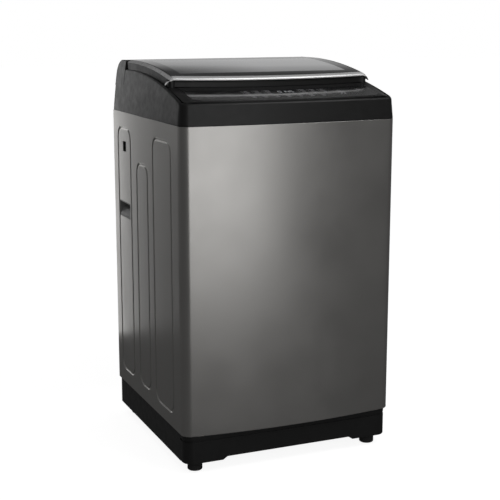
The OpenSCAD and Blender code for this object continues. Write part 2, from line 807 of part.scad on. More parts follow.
module basket_hub() {
    color(bright_metal) difference() {
        union() {
            rod(62, basket_bottom + 4, basket_bottom + 10);
            rod(30, basket_bottom - 3, basket_bottom + 22);
            for (a = [0:120:240]) rotate([0, 0, a]) translate([55, -12, basket_bottom + 4]) cube([165, 24, 6]);
        }
        rod(shaft_r, 0, basket_bottom + 60);
    }
}

module balance_ring() {
    color(white_plastic) tube(basket_r - 1.2, 194, basket_top - 25, basket_top + 12);
}

module spin_shaft() {
    color(bright_metal) tube(shaft_r, wash_r + run_gap, 205, basket_bottom + 21);
}

module lint_filter() {
    color(white_plastic) intersection() {
        for (side = [-1, 1]) translate([side * (basket_r - 9.4) - 8, -32, 560]) difference() {
            cube([16, 64, 130]);
            translate([-side * 5, 3, 8]) cube([16, 58, 114]);
        }
        rod(basket_r - 1.3, 500, 750);
    }
}

module pulsator() {
    color(white_plastic) difference() {
        union() {
            rod(pulsator_r, basket_bottom + 24, basket_bottom + 32);
            for (a = [0:60:300]) rotate([0, 0, a]) translate([30, -9, basket_bottom + 30]) cube([120, 18, 14]);
            rod(38, basket_bottom + 30, basket_bottom + 48);
        }
        rod(wash_r, 0, 500);
        rod(12, basket_bottom + 40, basket_bottom + 60);
    }
}

module pulsator_cap() {
    color(grey_plastic) rod(12, basket_bottom + 41, basket_bottom + 52);
}

module wash_shaft() {
    color(bright_metal) rod(wash_r, pulley_z + pulley_h + 0.3, basket_bottom + 40.8);
}

module drive_plate() {
    color(steel) difference() {
        union() {
            translate([-90, -70, 236]) cube([310, 140, 5.8]);
            translate([pump_x - 40, pump_y - 45, 236]) cube([120, 90, 5.8]);
        }
        rod(shaft_r + 8, 200, 260);
        translate([pump_x, pump_y, 0]) rod(16, 200, 260);
    }
}

module clutch_housing() {
    color(bright_metal) {
        tube(60, shaft_r + 0.06, 205, 235.8);
        tube(48, wash_r + 0.06, 150, 204.8);
        tube(48, 30, 204.6, 206);
        translate([46, -8, 178]) cube([28, 16, 5]);
    }
}

module motor() {
    color(bright_metal) translate([motor_x, 0, 0]) {
        rod(64, 158, 228);
        rod(30, 145, 160);
        for (a = [45:90:315]) rotate([0, 0, a]) translate([58, 0, 0]) rod(6, 200, 235.8);
    }
}

module clutch_pulley() {
    color(bright_metal) difference() {
        rod(pulley_r, pulley_z, pulley_z + pulley_h);
        tube(pulley_r + 1, pulley_r - 6, pulley_z + 4, pulley_z + pulley_h - 4);
        for (a = [0:60:300]) rotate([0, 0, a]) translate([42, 0, 0]) rod(14, pulley_z - 1, pulley_z + pulley_h + 1);
    }
}

module motor_pulley() {
    color(bright_metal) translate([motor_x, 0, 0]) {
        difference() {
            rod(motor_pulley_r, pulley_z, pulley_z + pulley_h);
            tube(motor_pulley_r + 1, motor_pulley_r - 5, pulley_z + 4, pulley_z + pulley_h - 4);
        }
        rod(6, pulley_z + pulley_h - 1, 144.7);
    }
}

// The belt runs in both grooves, clear of their floors
module drive_belt() {
    big = pulley_r - 5;
    small = motor_pulley_r - 4;
    lean = acos((big - small) / motor_x);
    module loop(e) {
        polygon(concat(arc(0, 0, big + e, lean, 360 - lean, 40), arc(motor_x, 0, small + e, -lean, lean, 16)));
    }
    color(rubber) translate([0, 0, pulley_z + 5]) linear_extrude(pulley_h - 10) difference() {
        loop(4);
        loop(0);
    }
}

module drain_pump() {
    color(white_plastic) translate([pump_x, pump_y, 0]) difference() {
        union() {
            rod(32, 150, 205);
            rod(13.5, 200, tub_bottom + 2);
            translate([-60, -9, 158]) cube([50, 18, 18]);
            rod(22, 120, 151);
        }
        rod(27, 156, 198);
        rod(10.5, 190, 260);
    }
}

module pump_impeller() {
    color(grey_plastic) translate([pump_x, pump_y, 0]) {
        rod(6, 160, 190);
        for (a = [0:60:300]) rotate([0, 0, a]) translate([4, -1.5, 162]) cube([19, 3, 24]);
    }
}

cabinet_wrap();
rear_panel();
base_frame();
plinth_front_cover();
side_handle_left();
side_handle_right();
top_cover();
rear_cover();
control_overlay();
display_window();
control_board();
lid_sensor();
inlet_valve();
dispenser_housing();
pressure_sensor();
suspension_rods();
suspension_springs();
corner_braces();
cord_gland();
drain_outlet();
cabinet_screws();
foot_lock_nuts();
lid_frame();
lid_glass();
lid_trim();
lid_hinge_pins();
lid_bumpers();
key_1();
key_2();
key_3();
key_4();
key_5();
key_6();
key_7();
power_key();
start_key();
detergent_drawer();
foot_front_left();
foot_front_right();
foot_rear_left();
foot_rear_right();
outer_tub();
tub_ring_cover();
drive_plate();
clutch_housing();
motor();
drive_belt();
drain_pump();
pump_impeller();
basket();
basket_hub();
balance_ring();
spin_shaft();
lint_filter();
pulsator();
pulsator_cap();
wash_shaft();
clutch_pulley();
motor_pulley();
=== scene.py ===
"""Top load washing machine: bowed steel cabinet, black top cover, crowned glass lid and bright handle strip.

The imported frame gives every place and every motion.  Each operator below models one piece, or one group of
pieces that belong together, around it.
"""

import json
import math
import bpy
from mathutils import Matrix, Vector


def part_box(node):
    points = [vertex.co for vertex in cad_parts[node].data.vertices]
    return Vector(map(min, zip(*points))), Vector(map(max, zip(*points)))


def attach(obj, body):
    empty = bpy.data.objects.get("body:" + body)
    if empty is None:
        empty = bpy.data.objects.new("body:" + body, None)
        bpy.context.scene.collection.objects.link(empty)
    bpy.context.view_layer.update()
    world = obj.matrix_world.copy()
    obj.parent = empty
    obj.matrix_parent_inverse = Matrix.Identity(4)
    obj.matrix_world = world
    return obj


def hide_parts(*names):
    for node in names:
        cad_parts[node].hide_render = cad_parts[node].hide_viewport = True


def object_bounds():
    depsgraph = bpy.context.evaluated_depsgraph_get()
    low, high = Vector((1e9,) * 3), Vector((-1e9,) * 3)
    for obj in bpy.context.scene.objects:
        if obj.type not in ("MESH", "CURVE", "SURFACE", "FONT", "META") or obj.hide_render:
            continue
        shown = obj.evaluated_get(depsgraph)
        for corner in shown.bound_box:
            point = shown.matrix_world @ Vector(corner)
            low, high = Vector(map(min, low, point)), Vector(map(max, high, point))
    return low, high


bl_info = {
    "name": "Top Load Washing Machine",
    "version": (1, 0, 0),
    "blender": (4, 5, 0),
    "location": "View3D > Sidebar > Washer",
    "description": "Models a top load washing machine around its packed frame",
    "category": "Add Mesh",
}

import bpy
from bpy.props import FloatProperty, FloatVectorProperty, IntProperty, PointerProperty
from mathutils import Vector

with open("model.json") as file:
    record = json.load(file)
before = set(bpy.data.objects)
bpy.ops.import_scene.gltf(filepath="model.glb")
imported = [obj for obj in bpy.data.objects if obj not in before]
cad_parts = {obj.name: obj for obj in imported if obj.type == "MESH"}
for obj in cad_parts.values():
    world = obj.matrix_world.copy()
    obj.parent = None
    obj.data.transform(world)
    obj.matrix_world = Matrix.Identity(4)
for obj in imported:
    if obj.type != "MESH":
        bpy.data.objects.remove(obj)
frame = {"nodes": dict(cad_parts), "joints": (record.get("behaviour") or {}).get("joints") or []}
CAD_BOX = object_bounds()

MM = 0.001
WRAP_LOW, WRAP_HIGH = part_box("cabinet_wrap")
COVER_LOW, COVER_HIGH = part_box("top_cover")
PLINTH_LOW, PLINTH_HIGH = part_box("plinth_front_cover")
HALF_WIDTH = WRAP_HIGH.x
REAR = WRAP_HIGH.y
FRONT = WRAP_LOW.y
LID_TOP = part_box("lid_frame")[1].z
LID_PIVOT = next(Vector(joint["pos_m"]) for joint in frame["joints"] if joint["name"] == "lid_hinge")
LEFT, RIGHT = -1, 1


# ---------------------------------------------------------------- sizes and colours a user may change


def length_of(name, description, default):
    """A length a user may change."""
    return FloatProperty(name=name, description=description, default=default, unit="LENGTH")


def colour_of(name, description, default):
    """A colour a user may change."""
    return FloatVectorProperty(
        name=name, description=description, default=default, subtype="COLOR", size=3, min=0, max=1)


def brightness_of(name, description, default):
    """A brightness a user may change."""
    return FloatProperty(name=name, description=description, default=default, min=0)


class WasherSizes(bpy.types.PropertyGroup):
    """Sizes of the visible shapes."""

    bow: length_of("Front bow", "How far the front stands out in its middle", 19.7 * MM)
    corner: length_of("Corner radius", "Radius of the upright front corners", 25 * MM)
    sheet: length_of("Sheet thickness", "Thickness of the steel sheet", 1.2 * MM)
    press: length_of("Pressing depth", "Depth of the grooves round the pressed panels", 2.4 * MM)
    press_corner: length_of("Pressing corner", "Corner radius of the pressed panels", 27 * MM)
    crown: length_of("Lid crown radius", "Radius of the lid's fall to the front", 1.50)
    glass: length_of("Glass thickness", "Thickness of the lid glass", 4 * MM)
    holes_round: IntProperty(
        name="Holes round the basket", description="Number of holes in one row of the basket",
        default=72, min=24)
    hole_rows: IntProperty(
        name="Rows of holes", description="Number of rows of holes in the basket", default=13, min=4)


class WasherColours(bpy.types.PropertyGroup):
    """Colours of the finishes."""

    steel: colour_of("Titanium steel", "Painted steel of the cabinet", (0.500, 0.490, 0.474))
    black: colour_of("Black plastic", "Satin plastic of the top cover", (0.0095, 0.0095, 0.0095))
    gloss: colour_of("Gloss black", "Control overlay", (0.006, 0.006, 0.0065))
    print_grey: colour_of("Print", "Printed marks on the overlay", (0.30, 0.30, 0.31))
    # The light grey of the glass's middle is partly painted reflection of a bright surround; the smoked glass
    # itself is darker.
    glass: colour_of("Smoked glass", "Clear middle of the lid glass", (0.42, 0.42, 0.425))
    trim: colour_of("Bright trim", "Handle strip of the lid", (0.80, 0.80, 0.80))
    white: colour_of("White plastic", "Tub and inner plastic parts", (0.72, 0.73, 0.73))
    stainless: colour_of("Stainless steel", "Basket and shafts", (0.62, 0.61, 0.60))


class WasherStage(bpy.types.PropertyGroup):
    """Light and camera."""

    lens: FloatProperty(
        name="Lens", description="Focal length of the camera in millimetres", default=83.5, min=20)
    azimuth: FloatProperty(
        name="Azimuth", description="Direction the camera stands in",
        default=math.radians(-23.2), subtype="ANGLE")
    elevation: FloatProperty(
        name="Elevation", description="Height of the camera above the horizon",
        default=math.radians(11.7), subtype="ANGLE")
    distance: length_of("Distance", "Distance of the camera from the machine's middle", 3.026)
    front_light: brightness_of("Front light", "Brightness of the front soft box", 1.2)
    side_light: brightness_of("Side light", "Brightness of the strip behind the side", 1.2)
    backdrop: brightness_of("Backdrop", "Brightness of the backdrop the lid mirrors", 0.9)
    top_light: brightness_of("Top light", "Brightness of the overhead box", 3.0)


def sizes():
    """The sizes of this scene."""
    return bpy.context.scene.washer_sizes


def colours():
    """The colours of this scene."""
    return bpy.context.scene.washer_colours


# ---------------------------------------------------------------- modelling helpers


def pick_nothing():
    """Leaves edit mode and clears the selection."""
    if bpy.context.mode != "OBJECT":
        bpy.ops.object.mode_set(mode="OBJECT")
    bpy.ops.object.select_all(action="DESELECT")


def pick(piece):
    """Makes piece the only selected and the active object."""
    pick_nothing()
    piece.select_set(True)
    bpy.context.view_layer.objects.active = piece


def edit_all(piece):
    """Opens the piece for editing with every part of it picked."""
    pick(piece)
    bpy.ops.object.mode_set(mode="EDIT")
    bpy.ops.mesh.select_all(action="SELECT")


def unpick_parts(piece, kind):
    """Unpicks every part of the piece, ready to pick parts of one kind."""
    pick(piece)
    bpy.ops.object.mode_set(mode="EDIT")
    bpy.ops.mesh.select_mode(type=kind)
    bpy.ops.mesh.select_all(action="DESELECT")
    bpy.ops.object.mode_set(mode="OBJECT")


def apply_modifier(piece, kind, **settings):
    """Adds a modifier with its settings and applies it."""
    pick(piece)
    modifier = piece.modifiers.new(kind.title(), kind)
    for name, value in settings.items():
        setattr(modifier, name, value)
    bpy.ops.object.modifier_apply(modifier=modifier.name)


def block(name, low, high):
    """A closed box between two corners."""
    pick_nothing()
    low, high = Vector(low), Vector(high)
    bpy.ops.mesh.primitive_cube_add(size=1, location=(low + high) / 2)
    piece = bpy.context.object
    piece.name = name
    piece.scale = high - low
    bpy.ops.object.transform_apply(location=True, rotation=False, scale=True)
    return piece


def stand_along(axis, along, first, second):
    """A point whose place along the axis is given, with the other two in X, Y, Z order."""
    return {"X": (along, first, second), "Y": (first, along, second), "Z": (first, second, along)}[axis]


def outline_block(name, outline, axis, low, high):
    """A closed block: a flat outline at low, extruded along an axis to high."""
    pick_nothing()
    bpy.ops.mesh.primitive_circle_add(vertices=len(outline), fill_type="NGON")
    piece = bpy.context.object
    piece.name = name
    for vertex, (first, second) in zip(piece.data.vertices, outline):
        vertex.co = stand_along(axis, low, first, second)
    edit_all(piece)
    travel = stand_along(axis, high - low, 0, 0)
    bpy.ops.mesh.extrude_region_move(TRANSFORM_OT_translate={"value": travel})
    bpy.ops.mesh.select_all(action="SELECT")
    bpy.ops.mesh.normals_make_consistent(inside=False)
    bpy.ops.object.mode_set(mode="OBJECT")
    return piece


def laid_grid(name, columns, rows, place):
    """A grid whose crossings are laid by a rule: place(u, v) for u and v from 0 to 1."""
    pick_nothing()
    bpy.ops.mesh.primitive_grid_add(x_subdivisions=columns, y_subdivisions=rows, size=2)
    piece = bpy.context.object
    piece.name = name
    for vertex in piece.data.vertices:
        vertex.co = place((vertex.co.x + 1) / 2, (vertex.co.y + 1) / 2)
    merge(piece)
    return piece


def merge(piece):
    """Merges doubled points and turns the faces outwards."""
    edit_all(piece)
    bpy.ops.mesh.remove_doubles(threshold=0.02 * MM)
    bpy.ops.mesh.normals_make_consistent(inside=False)
    bpy.ops.object.mode_set(mode="OBJECT")


def turned(name, outline, steps=96, centre=(0, 0)):
    """A turned piece: a closed outline of (radius, height) spun round an upright axis."""
    pick_nothing()
    bpy.ops.mesh.primitive_circle_add(vertices=len(outline), fill_type="NOTHING")
    piece = bpy.context.object
    piece.name = name
    for vertex, (radius, height) in zip(piece.data.vertices, outline):
        vertex.co = (centre[0] + radius, centre[1], height)
    edit_all(piece)
    bpy.ops.mesh.spin(steps=steps, angle=math.tau, center=(centre[0], centre[1], 0), axis=(0, 0, 1))
    bpy.ops.object.mode_set(mode="OBJECT")
    merge(piece)
    return piece


def rod(name, radius, foot, top, sides=32):
    """A round bar between two points."""
    pick_nothing()
    foot, top = Vector(foot), Vector(top)
    bpy.ops.mesh.primitive_cylinder_add(vertices=sides, radius=radius, depth=(top - foot).length)
    piece = bpy.context.object
    piece.name = name
    piece.rotation_mode = "QUATERNION"
    piece.rotation_quaternion = (top - foot).to_track_quat("Z", "Y")
    piece.location = (foot + top) / 2
    bpy.ops.object.transform_apply(location=True, rotation=True, scale=True)
    return piece


def join(name, parts):
    """Joins several pieces into the first."""
    pick_nothing()
    for part in parts:
        part.select_set(True)
    bpy.context.view_layer.objects.active = parts[0]
    if len(parts) > 1:
        bpy.ops.object.join()
    parts[0].name = name
    return parts[0]


def cut(piece, tool, operation="DIFFERENCE"):
    """Cuts piece with tool, or unites them, and clears the tool away."""
    apply_modifier(piece, "BOOLEAN", object=tool, operation=operation, solver="EXACT")
    bpy.data.objects.remove(tool, do_unlink=True)


def copies(piece, places):
    """One copy of the piece at each offset.  The piece itself is cleared away."""
    made = []
    for offset in places:
        twin = piece.copy()
        twin.data = piece.data.copy()
        bpy.context.collection.objects.link(twin)
        pick(twin)
        twin.location = offset
        bpy.ops.object.transform_apply(location=True, rotation=False, scale=False)
        made.append(twin)
    bpy.data.objects.remove(piece, do_unlink=True)
    return made


def turned_copies(piece, count, centre=(0, 0)):
    """Copies of the piece spread evenly round an upright axis.  The piece itself is cleared away."""
    made = []
    for step in range(count):
        twin = piece.copy()
        twin.data = piece.data.copy()
        bpy.context.collection.objects.link(twin)
        angle = math.tau * step / count
        for vertex in twin.data.vertices:
            x, y = vertex.co.x - centre[0], vertex.co.y - centre[1]
            vertex.co.x = centre[0] + x * math.cos(angle) - y * math.sin(angle)
            vertex.co.y = centre[1] + x * math.sin(angle) + y * math.cos(angle)
        made.append(twin)
    bpy.data.objects.remove(piece, do_unlink=True)
    return made


def round_edges(piece, width, segments=3, angle=30):
    """Rounds every edge sharper than the angle."""
    apply_modifier(
        piece, "BEVEL", width=width, segments=segments, limit_method="ANGLE",
        angle_limit=math.radians(angle), use_clamp_overlap=True, miter_outer="MITER_ARC")


def round_picked(piece, test, width, segments=8):
    """Rounds the edges whose middle and direction pass the test."""
    unpick_parts(piece, "EDGE")
    points = piece.data.vertices
    for edge in piece.data.edges:
        start, end = points[edge.vertices[0]].co, points[edge.vertices[1]].co
        edge.select = test((start + end) / 2, (end - start).normalized())
    bpy.ops.object.mode_set(mode="EDIT")
    bpy.ops.mesh.bevel(offset=width, segments=segments, affect="EDGES")
    bpy.ops.object.mode_set(mode="OBJECT")


def pick_faces(piece, test):
    """Picks the faces whose centre and normal pass the test."""
    unpick_parts(piece, "FACE")
    for face in piece.data.polygons:
        face.select = test(face.center, face.normal)


def drop_faces(piece, test):
    """Deletes the faces whose centre and normal pass the test."""
    pick_faces(piece, test)
    bpy.ops.object.mode_set(mode="EDIT")
    bpy.ops.mesh.delete(type="FACE")
    bpy.ops.object.mode_set(mode="OBJECT")


def wall(piece, thickness):
    """Gives a skin its thickness, laid on its inner side."""
    apply_modifier(piece, "SOLIDIFY", thickness=thickness, offset=-1)


def smooth(piece, angle=32):
    """Smooth shading that keeps sharp corners and flat faces."""
    pick(piece)
    bpy.ops.object.shade_smooth_by_angle(angle=math.radians(angle))
    apply_modifier(piece, "WEIGHTED_NORMAL", keep_sharp=True, weight=50)


def fit(piece, finish, body, stands_for=(), angle=32):
    """Finishes a piece: shading, material, the body it rides on and the nodes it stands for."""
    smooth(piece, angle)
    piece.data.materials.clear()
    piece.data.materials.append(finish)
    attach(piece, body)
    if stands_for:
        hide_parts(*stands_for)
    return piece


def dress(node, finish):
    """Gives its material to a node that is shown as the frame has it."""
    shown = frame["nodes"][node]
    for place in shown.material_slots:
        place.material = finish


# ---------------------------------------------------------------- outlines


def arc(cx, cy, radius, start, end, steps):
    """Points on an arc, its angles in degrees."""
    angles = [math.radians(start + (end - start) * step / steps) for step in range(steps + 1)]
    return [(cx + radius * math.cos(a), cy + radius * math.sin(a)) for a in angles]


def rounded_outline(low, high, radius, steps=8):
    """A rectangle with round corners, between two flat corners."""
    (x0, y0), (x1, y1) = low, high
    return (
        arc(x1 - radius, y0 + radius, radius, -90, 0, steps)
        + arc(x1 - radius, y1 - radius, radius, 0, 90, steps)
        + arc(x0 + radius, y1 - radius, radius, 90, 180, steps)
        + arc(x0 + radius, y0 + radius, radius, 180, 270, steps))


def bow_radius():
    """Radius of the front's bow, from its width and its rise."""
    return (HALF_WIDTH**2 + sizes().bow ** 2) / (2 * sizes().bow)


def bowed_front(x, nearest):
    """Place of a front that is bowed like the cabinet's and reaches nearest in the middle."""
    radius = bow_radius()
    return nearest + radius - math.sqrt(radius**2 - x**2)


def cabinet_path(inset=0.0):
    """Plan of the cabinet's sides and front, from rear right round to rear left: point, outward normal."""
    radius, corner = bow_radius(), sizes().corner
    centre = FRONT + radius
    corner_x = HALF_WIDTH - corner
    corner_y = centre - math.sqrt((radius - corner) ** 2 - corner_x**2)
    turn = math.degrees(math.atan2(corner_y - centre, corner_x))
    path = []
    for cx, cy, r, start, end, steps in (
        (corner_x, corner_y, corner, 0, turn, 12),
        (0, centre, radius, turn, -180 - turn, 40),
        (-corner_x, corner_y, corner, -180 - turn, -180, 12),
    ):
        for step in range(steps + 1):
            angle = math.radians(start + (end - start) * step / steps)
            normal = Vector((math.cos(angle), math.sin(angle)))
            path.append((Vector((cx, cy)) + normal * (r - inset), normal))
    return path


def lid_height(y):
    """Height of the lid's top: flat at the back, an arc that falls to the front."""
    flat_until = 150 * MM
    if y >= flat_until:
        return LID_TOP
    radius = sizes().crown
    return LID_TOP - radius + math.sqrt(radius**2 - (flat_until - y) ** 2)


PANEL_SLOPE = 0.2
PANEL_FRONT = 893 * MM
PANEL_TILT = math.atan(PANEL_SLOPE)
PANEL_Y = FRONT + 3 * MM
RECESS_FRONT = -143 * MM
DECK = 905 * MM
TOWER_X = 253 * MM
TOWER_Y = 186 * MM
COVER_BOTTOM = COVER_LOW.z
COVER_TOP = COVER_HIGH.z
REAR_ROUND = 38 * MM


def panel_height(y):
    """Height of the sloping control panel at a depth y."""
    return PANEL_FRONT + PANEL_SLOPE * (y - PANEL_Y)


def wall_height(y):
    """Height of the top edge of the cover's side walls: level at the rear, then falling to the front."""
    level, level_until, fall = 949.5, 130, 0.00039
    ahead = max(level_until - y / MM, 0)
    return (level - fall * ahead**2) * MM


def lay_on_panel(piece):
    """Moves a piece that was made flat, from the panel's front edge, onto the sloping panel."""
    pick(piece)
    piece.rotation_euler = (PANEL_TILT, 0, 0)
    piece.location = (0, PANEL_Y, PANEL_FRONT)
    bpy.ops.object.transform_apply(location=True, rotation=True, scale=True)
    return piece


# ---------------------------------------------------------------- finishes


class Finish:
    """A procedural material whose patterns read Object coordinates."""

    def __init__(self, name, colour, metallic=0.0, roughness=0.5, coat=0.0):
        self.material = bpy.data.materials.new(name)
        self.material.use_nodes = True
        self.nodes = self.material.node_tree.nodes
        self.links = self.material.node_tree.links
        self.shader = self.nodes["Principled BSDF"]
        self.coords = self.nodes.new("ShaderNodeTexCoord")
        self.colour = (*colour, 1)
        self.set("Base Color", self.colour)
        self.set("Metallic", metallic)
        self.set("Roughness", roughness)
        self.set("Coat Weight", coat)
        self.set("Coat Roughness", 0.05)

    def set(self, socket, value):
        self.shader.inputs[socket].default_value = value

    def noise(self, scale, detail=2.0, stretch=(1, 1, 1)):
        """Noise over the piece, stretched along the axes."""
        mapping = self.nodes.new("ShaderNodeMapping")
        mapping.inputs["Scale"].default_value = stretch
        self.links.new(self.coords.outputs["Object"], mapping.inputs["Vector"])
        noise = self.nodes.new("ShaderNodeTexNoise")
        noise.inputs["Scale"].default_value = scale
        noise.inputs["Detail"].default_value = detail
        self.links.new(mapping.outputs["Vector"], noise.inputs["Vector"])
        return noise.outputs["Fac"]

    def ramp(self, source, low, high, start=0.3, end=0.7):
        """A value or a colour that runs from low to high with the source."""
        ramp = self.nodes.new("ShaderNodeMapRange")
        ramp.inputs["From Min"].default_value = start
        ramp.inputs["From Max"].default_value = end
        ramp.inputs["To Min"].default_value = low
        ramp.inputs["To Max"].default_value = high
        self.links.new(source, ramp.inputs["Value"])
        return ramp.outputs["Result"]

    def mix(self, factor, low, high):
        """Mixes two colours, or a colour and the output of another node."""
        mix = self.nodes.new("ShaderNodeMix")
        mix.data_type = "RGBA"
        self.links.new(factor, mix.inputs["Factor"])
        for socket, value in (("A", low), ("B", high)):
            target = next(i for i in mix.inputs if i.name == socket and i.type == "RGBA")
            if isinstance(value, bpy.types.NodeSocket):
                self.links.new(value, target)
            else:
                target.default_value = value
        return next(o for o in mix.outputs if o.type == "RGBA")

    def vary_colour(self, source, amount):
        """Lets the colour wander by a share of itself with the source."""
        darker = [c * (1 - amount) for c in self.colour[:3]] + [1]
        lighter = [min(c * (1 + amount), 1) for c in self.colour[:3]] + [1]
        self.links.new(self.mix(source, darker, lighter), self.shader.inputs["Base Color"])

    def vary_roughness(self, source, low, high):
        self.links.new(self.ramp(source, low, high), self.shader.inputs["Roughness"])

    def bump(self, source, strength, depth):
        bump = self.nodes.new("ShaderNodeBump")
        bump.inputs["Strength"].default_value = strength
        bump.inputs["Distance"].default_value = depth
        self.links.new(source, bump.inputs["Height"])
        self.links.new(bump.outputs["Normal"], self.shader.inputs["Normal"])


FINISHES = {}


def titanium_steel():
    """Painted sheet steel: a fine metallic flake under a clear satin coat."""
    finish = Finish("titanium_steel", colours().steel, metallic=0.95, roughness=0.34)
    flake = finish.noise(2600, 1)
    finish.vary_colour(flake, 0.10)
    finish.vary_roughness(finish.noise(9, 3), 0.31, 0.37)
    finish.bump(finish.noise(900, 2), 0.05, 0.0002)
    return finish.material


def moulded_plastic(name, colour, roughness, grain=1400, strength=0.12):
    """Moulded plastic with a fine spark eroded grain."""
    finish = Finish(name, colour, roughness=roughness)
    finish.set("Specular IOR Level", 0.35)
    finish.vary_colour(finish.noise(24, 3), 0.10)
    finish.vary_roughness(finish.noise(60, 4), roughness - 0.05, roughness + 0.05)
    finish.bump(finish.noise(grain, 3), strength, 0.0003)
    return finish.material


def brushed_metal(name, colour, roughness, stretch, strength=0.08, metallic=1.0):
    """Metal with fine lines along one direction."""
    finish = Finish(name, colour, metallic=metallic, roughness=roughness)
    lines = finish.noise(180, 4, stretch)
    finish.vary_colour(lines, 0.08)
    finish.vary_roughness(lines, roughness - 0.07, roughness + 0.07)
    finish.bump(lines, strength, 0.0002)
    return finish.material


def plain_gloss(name, colour, roughness=0.18):
    """Polished plastic or film, with the faint waviness of a moulded face."""
    finish = Finish(name, colour, roughness=roughness, coat=0.6)
    finish.vary_colour(finish.noise(40, 2), 0.06)
    finish.vary_roughness(finish.noise(30, 3), roughness - 0.03, roughness + 0.04)
    finish.bump(finish.noise(14, 1), 0.03, 0.0006)
    return finish.material


def lit_mark(name, colour, strength):
    """A mark that glows softly: the display digits behind the film give their own light, while on the printed
    marks the glow is painted light.
    """
    finish = Finish(name, colour, roughness=0.4)
    finish.vary_colour(finish.noise(500, 2), 0.1)
    finish.set("Emission Color", (*colour, 1))
    finish.set("Emission Strength", strength)
    return finish.material


def smoked_glass():
    """Tinted glass: a clear middle and a dark border printed on its underside, the middle painted darker to
    the left and lighter to the right as a painted reflection.
    """
    finish = Finish("smoked_glass", colours().glass, roughness=0.06)
    finish.set("IOR", 1.5)
    split = finish.nodes.new("ShaderNodeSeparateXYZ")
    finish.links.new(finish.coords.outputs["Object"], split.inputs["Vector"])
    # Painted reflection: the base colour runs from a painted shade on the left to full brightness towards the
    # right, standing for the bright surround the glass mirrors.
    painted_shade_until, painted_light_from = -0.22, 0.02
    painted_reflection_ramp = finish.ramp(split.outputs["X"], 0.0, 1.0, painted_shade_until, painted_light_from)
    painted_shade_colour = [c * 0.30 for c in colours().glass]
    middle = finish.mix(painted_reflection_ramp, (*painted_shade_colour, 1), (*colours().glass, 1))
    edges = []
    soft = 2 * MM
    for axis, low, high in (("X", -WINDOW_X, WINDOW_X), ("Y", WINDOW_FRONT, WINDOW_BACK)):
        edges.append(finish.ramp(split.outputs[axis], 0, 1, low, low + soft))
        edges.append(finish.ramp(split.outputs[axis], 1, 0, high - soft, high))
    inside = edges[0]
    for edge in edges[1:]:
        both = finish.nodes.new("ShaderNodeMath")
        both.operation = "MULTIPLY"
        finish.links.new(inside, both.inputs[0])
        finish.links.new(edge, both.inputs[1])
        inside = both.outputs[0]
    finish.links.new(finish.ramp(inside, 0.12, 0.5, 0, 1), finish.shader.inputs["Specular IOR Level"])
    border = (0.030, 0.030, 0.031, 1)
    finish.links.new(finish.mix(inside, border, middle), finish.shader.inputs["Base Color"])
    finish.vary_roughness(finish.noise(8, 2), 0.05, 0.09)
    return finish.material


def make_finishes():
    """Makes every finish once."""
    shade = colours()
    FINISHES.update(
        steel=titanium_steel(),
        black=moulded_plastic("black_plastic", shade.black, 0.42),
        grey=moulded_plastic("grey_plastic", (0.17, 0.17, 0.17), 0.45),
        # Light grey painted highlight for the slanting bands of the black lid frame.
        bevel=moulded_plastic("lid_bevel_painted_highlight", (0.42, 0.42, 0.42), 0.30),
        white=moulded_plastic("white_plastic", shade.white, 0.38, grain=900, strength=0.06),
        gloss=plain_gloss("gloss_black", shade.gloss),
        window=plain_gloss("display_film", (0.010, 0.010, 0.012), 0.05),
        # The printed marks glow as painted light, which makes them read lighter on the dark overlay.
        print=lit_mark("print_grey", shade.print_grey, 0.25),
        digits=lit_mark("digit_light", (0.60, 0.62, 0.64), 0.3),
        glass=smoked_glass(),
        trim=brushed_metal("bright_trim", shade.trim, 0.33, (0.05, 1, 1), 0.02, metallic=0.5),
        stainless=brushed_metal("stainless_steel", shade.stainless, 0.30, (1, 1, 0.04)),
        plated=brushed_metal("plated_steel", (0.55, 0.55, 0.56), 0.35, (0.2, 0.2, 0.2), 0.05),
        cast=brushed_metal("cast_aluminium", (0.60, 0.60, 0.61), 0.45, (0.8, 0.8, 0.8), 0.2),
        rubber=moulded_plastic("rubber", (0.018, 0.018, 0.018), 0.75, grain=700, strength=0.2),
        board=moulded_plastic("circuit_board", (0.03, 0.16, 0.07), 0.4, grain=300),
        copper=brushed_metal("winding_copper", (0.75, 0.32, 0.16), 0.35, (0.1, 0.1, 3), 0.3),
    )


# ---------------------------------------------------------------- cabinet

# Spans on the side walls in millimetres: from front to rear, then from bottom to top.
SIDE_PANELS = ((117, 222, 140, 799), (-18, 67, 141, 720), (-192, -62, 136, 797))
GRIP = (127, 218, 563, 605)
PORT = (154, 181, 738, 765)
POCKET_DEPTH = 2.6 * MM

# One half of a groove: millimetres from its middle line, and share of its depth.
GROOVE_HALF = ((5.2, 0.0), (4.0, 0.08), (3.1, 0.28), (2.3, 0.75), (1.4, 1.0))


def side_tool(side, spans, depth, radius):
    """A cutting block for a side wall: a rounded rectangle in (y, z)."""
    y0, y1, z0, z1 = (value * MM for value in spans)
    face = side * HALF_WIDTH
    return outline_block("side_tool", rounded_outline((y0, z0), (y1, z1), radius), "X",
                         face - side * depth, face + side * 4 * MM)


def groove_tool(side, spans, depth, radius):
    """A ring that cuts a soft shouldered groove along a rounded rectangle in (y, z) on a side wall."""
    y0, y1, z0, z1 = (value * MM for value in spans)
    rim = GROOVE_HALF[0][0]
    far_half = [(-across, share) for across, share in reversed(GROOVE_HALF)]
    rows = [(rim, -0.5), *GROOVE_HALF, *far_half, (-rim, -0.5)]
    loops = []
    for across, share in rows:
        grow = across * MM
        loop = rounded_outline((y0 - grow, z0 - grow), (y1 + grow, z1 + grow), radius + grow)
        loops.append([(side * (HALF_WIDTH - share * depth), y, z) for y, z in loop])
    count = len(loops[0])

    def place(u, v):
        return Vector(loops[round(v * len(rows)) % len(rows)][round(u * count) % count])

    return laid_grid("groove_tool", count, len(rows), place)


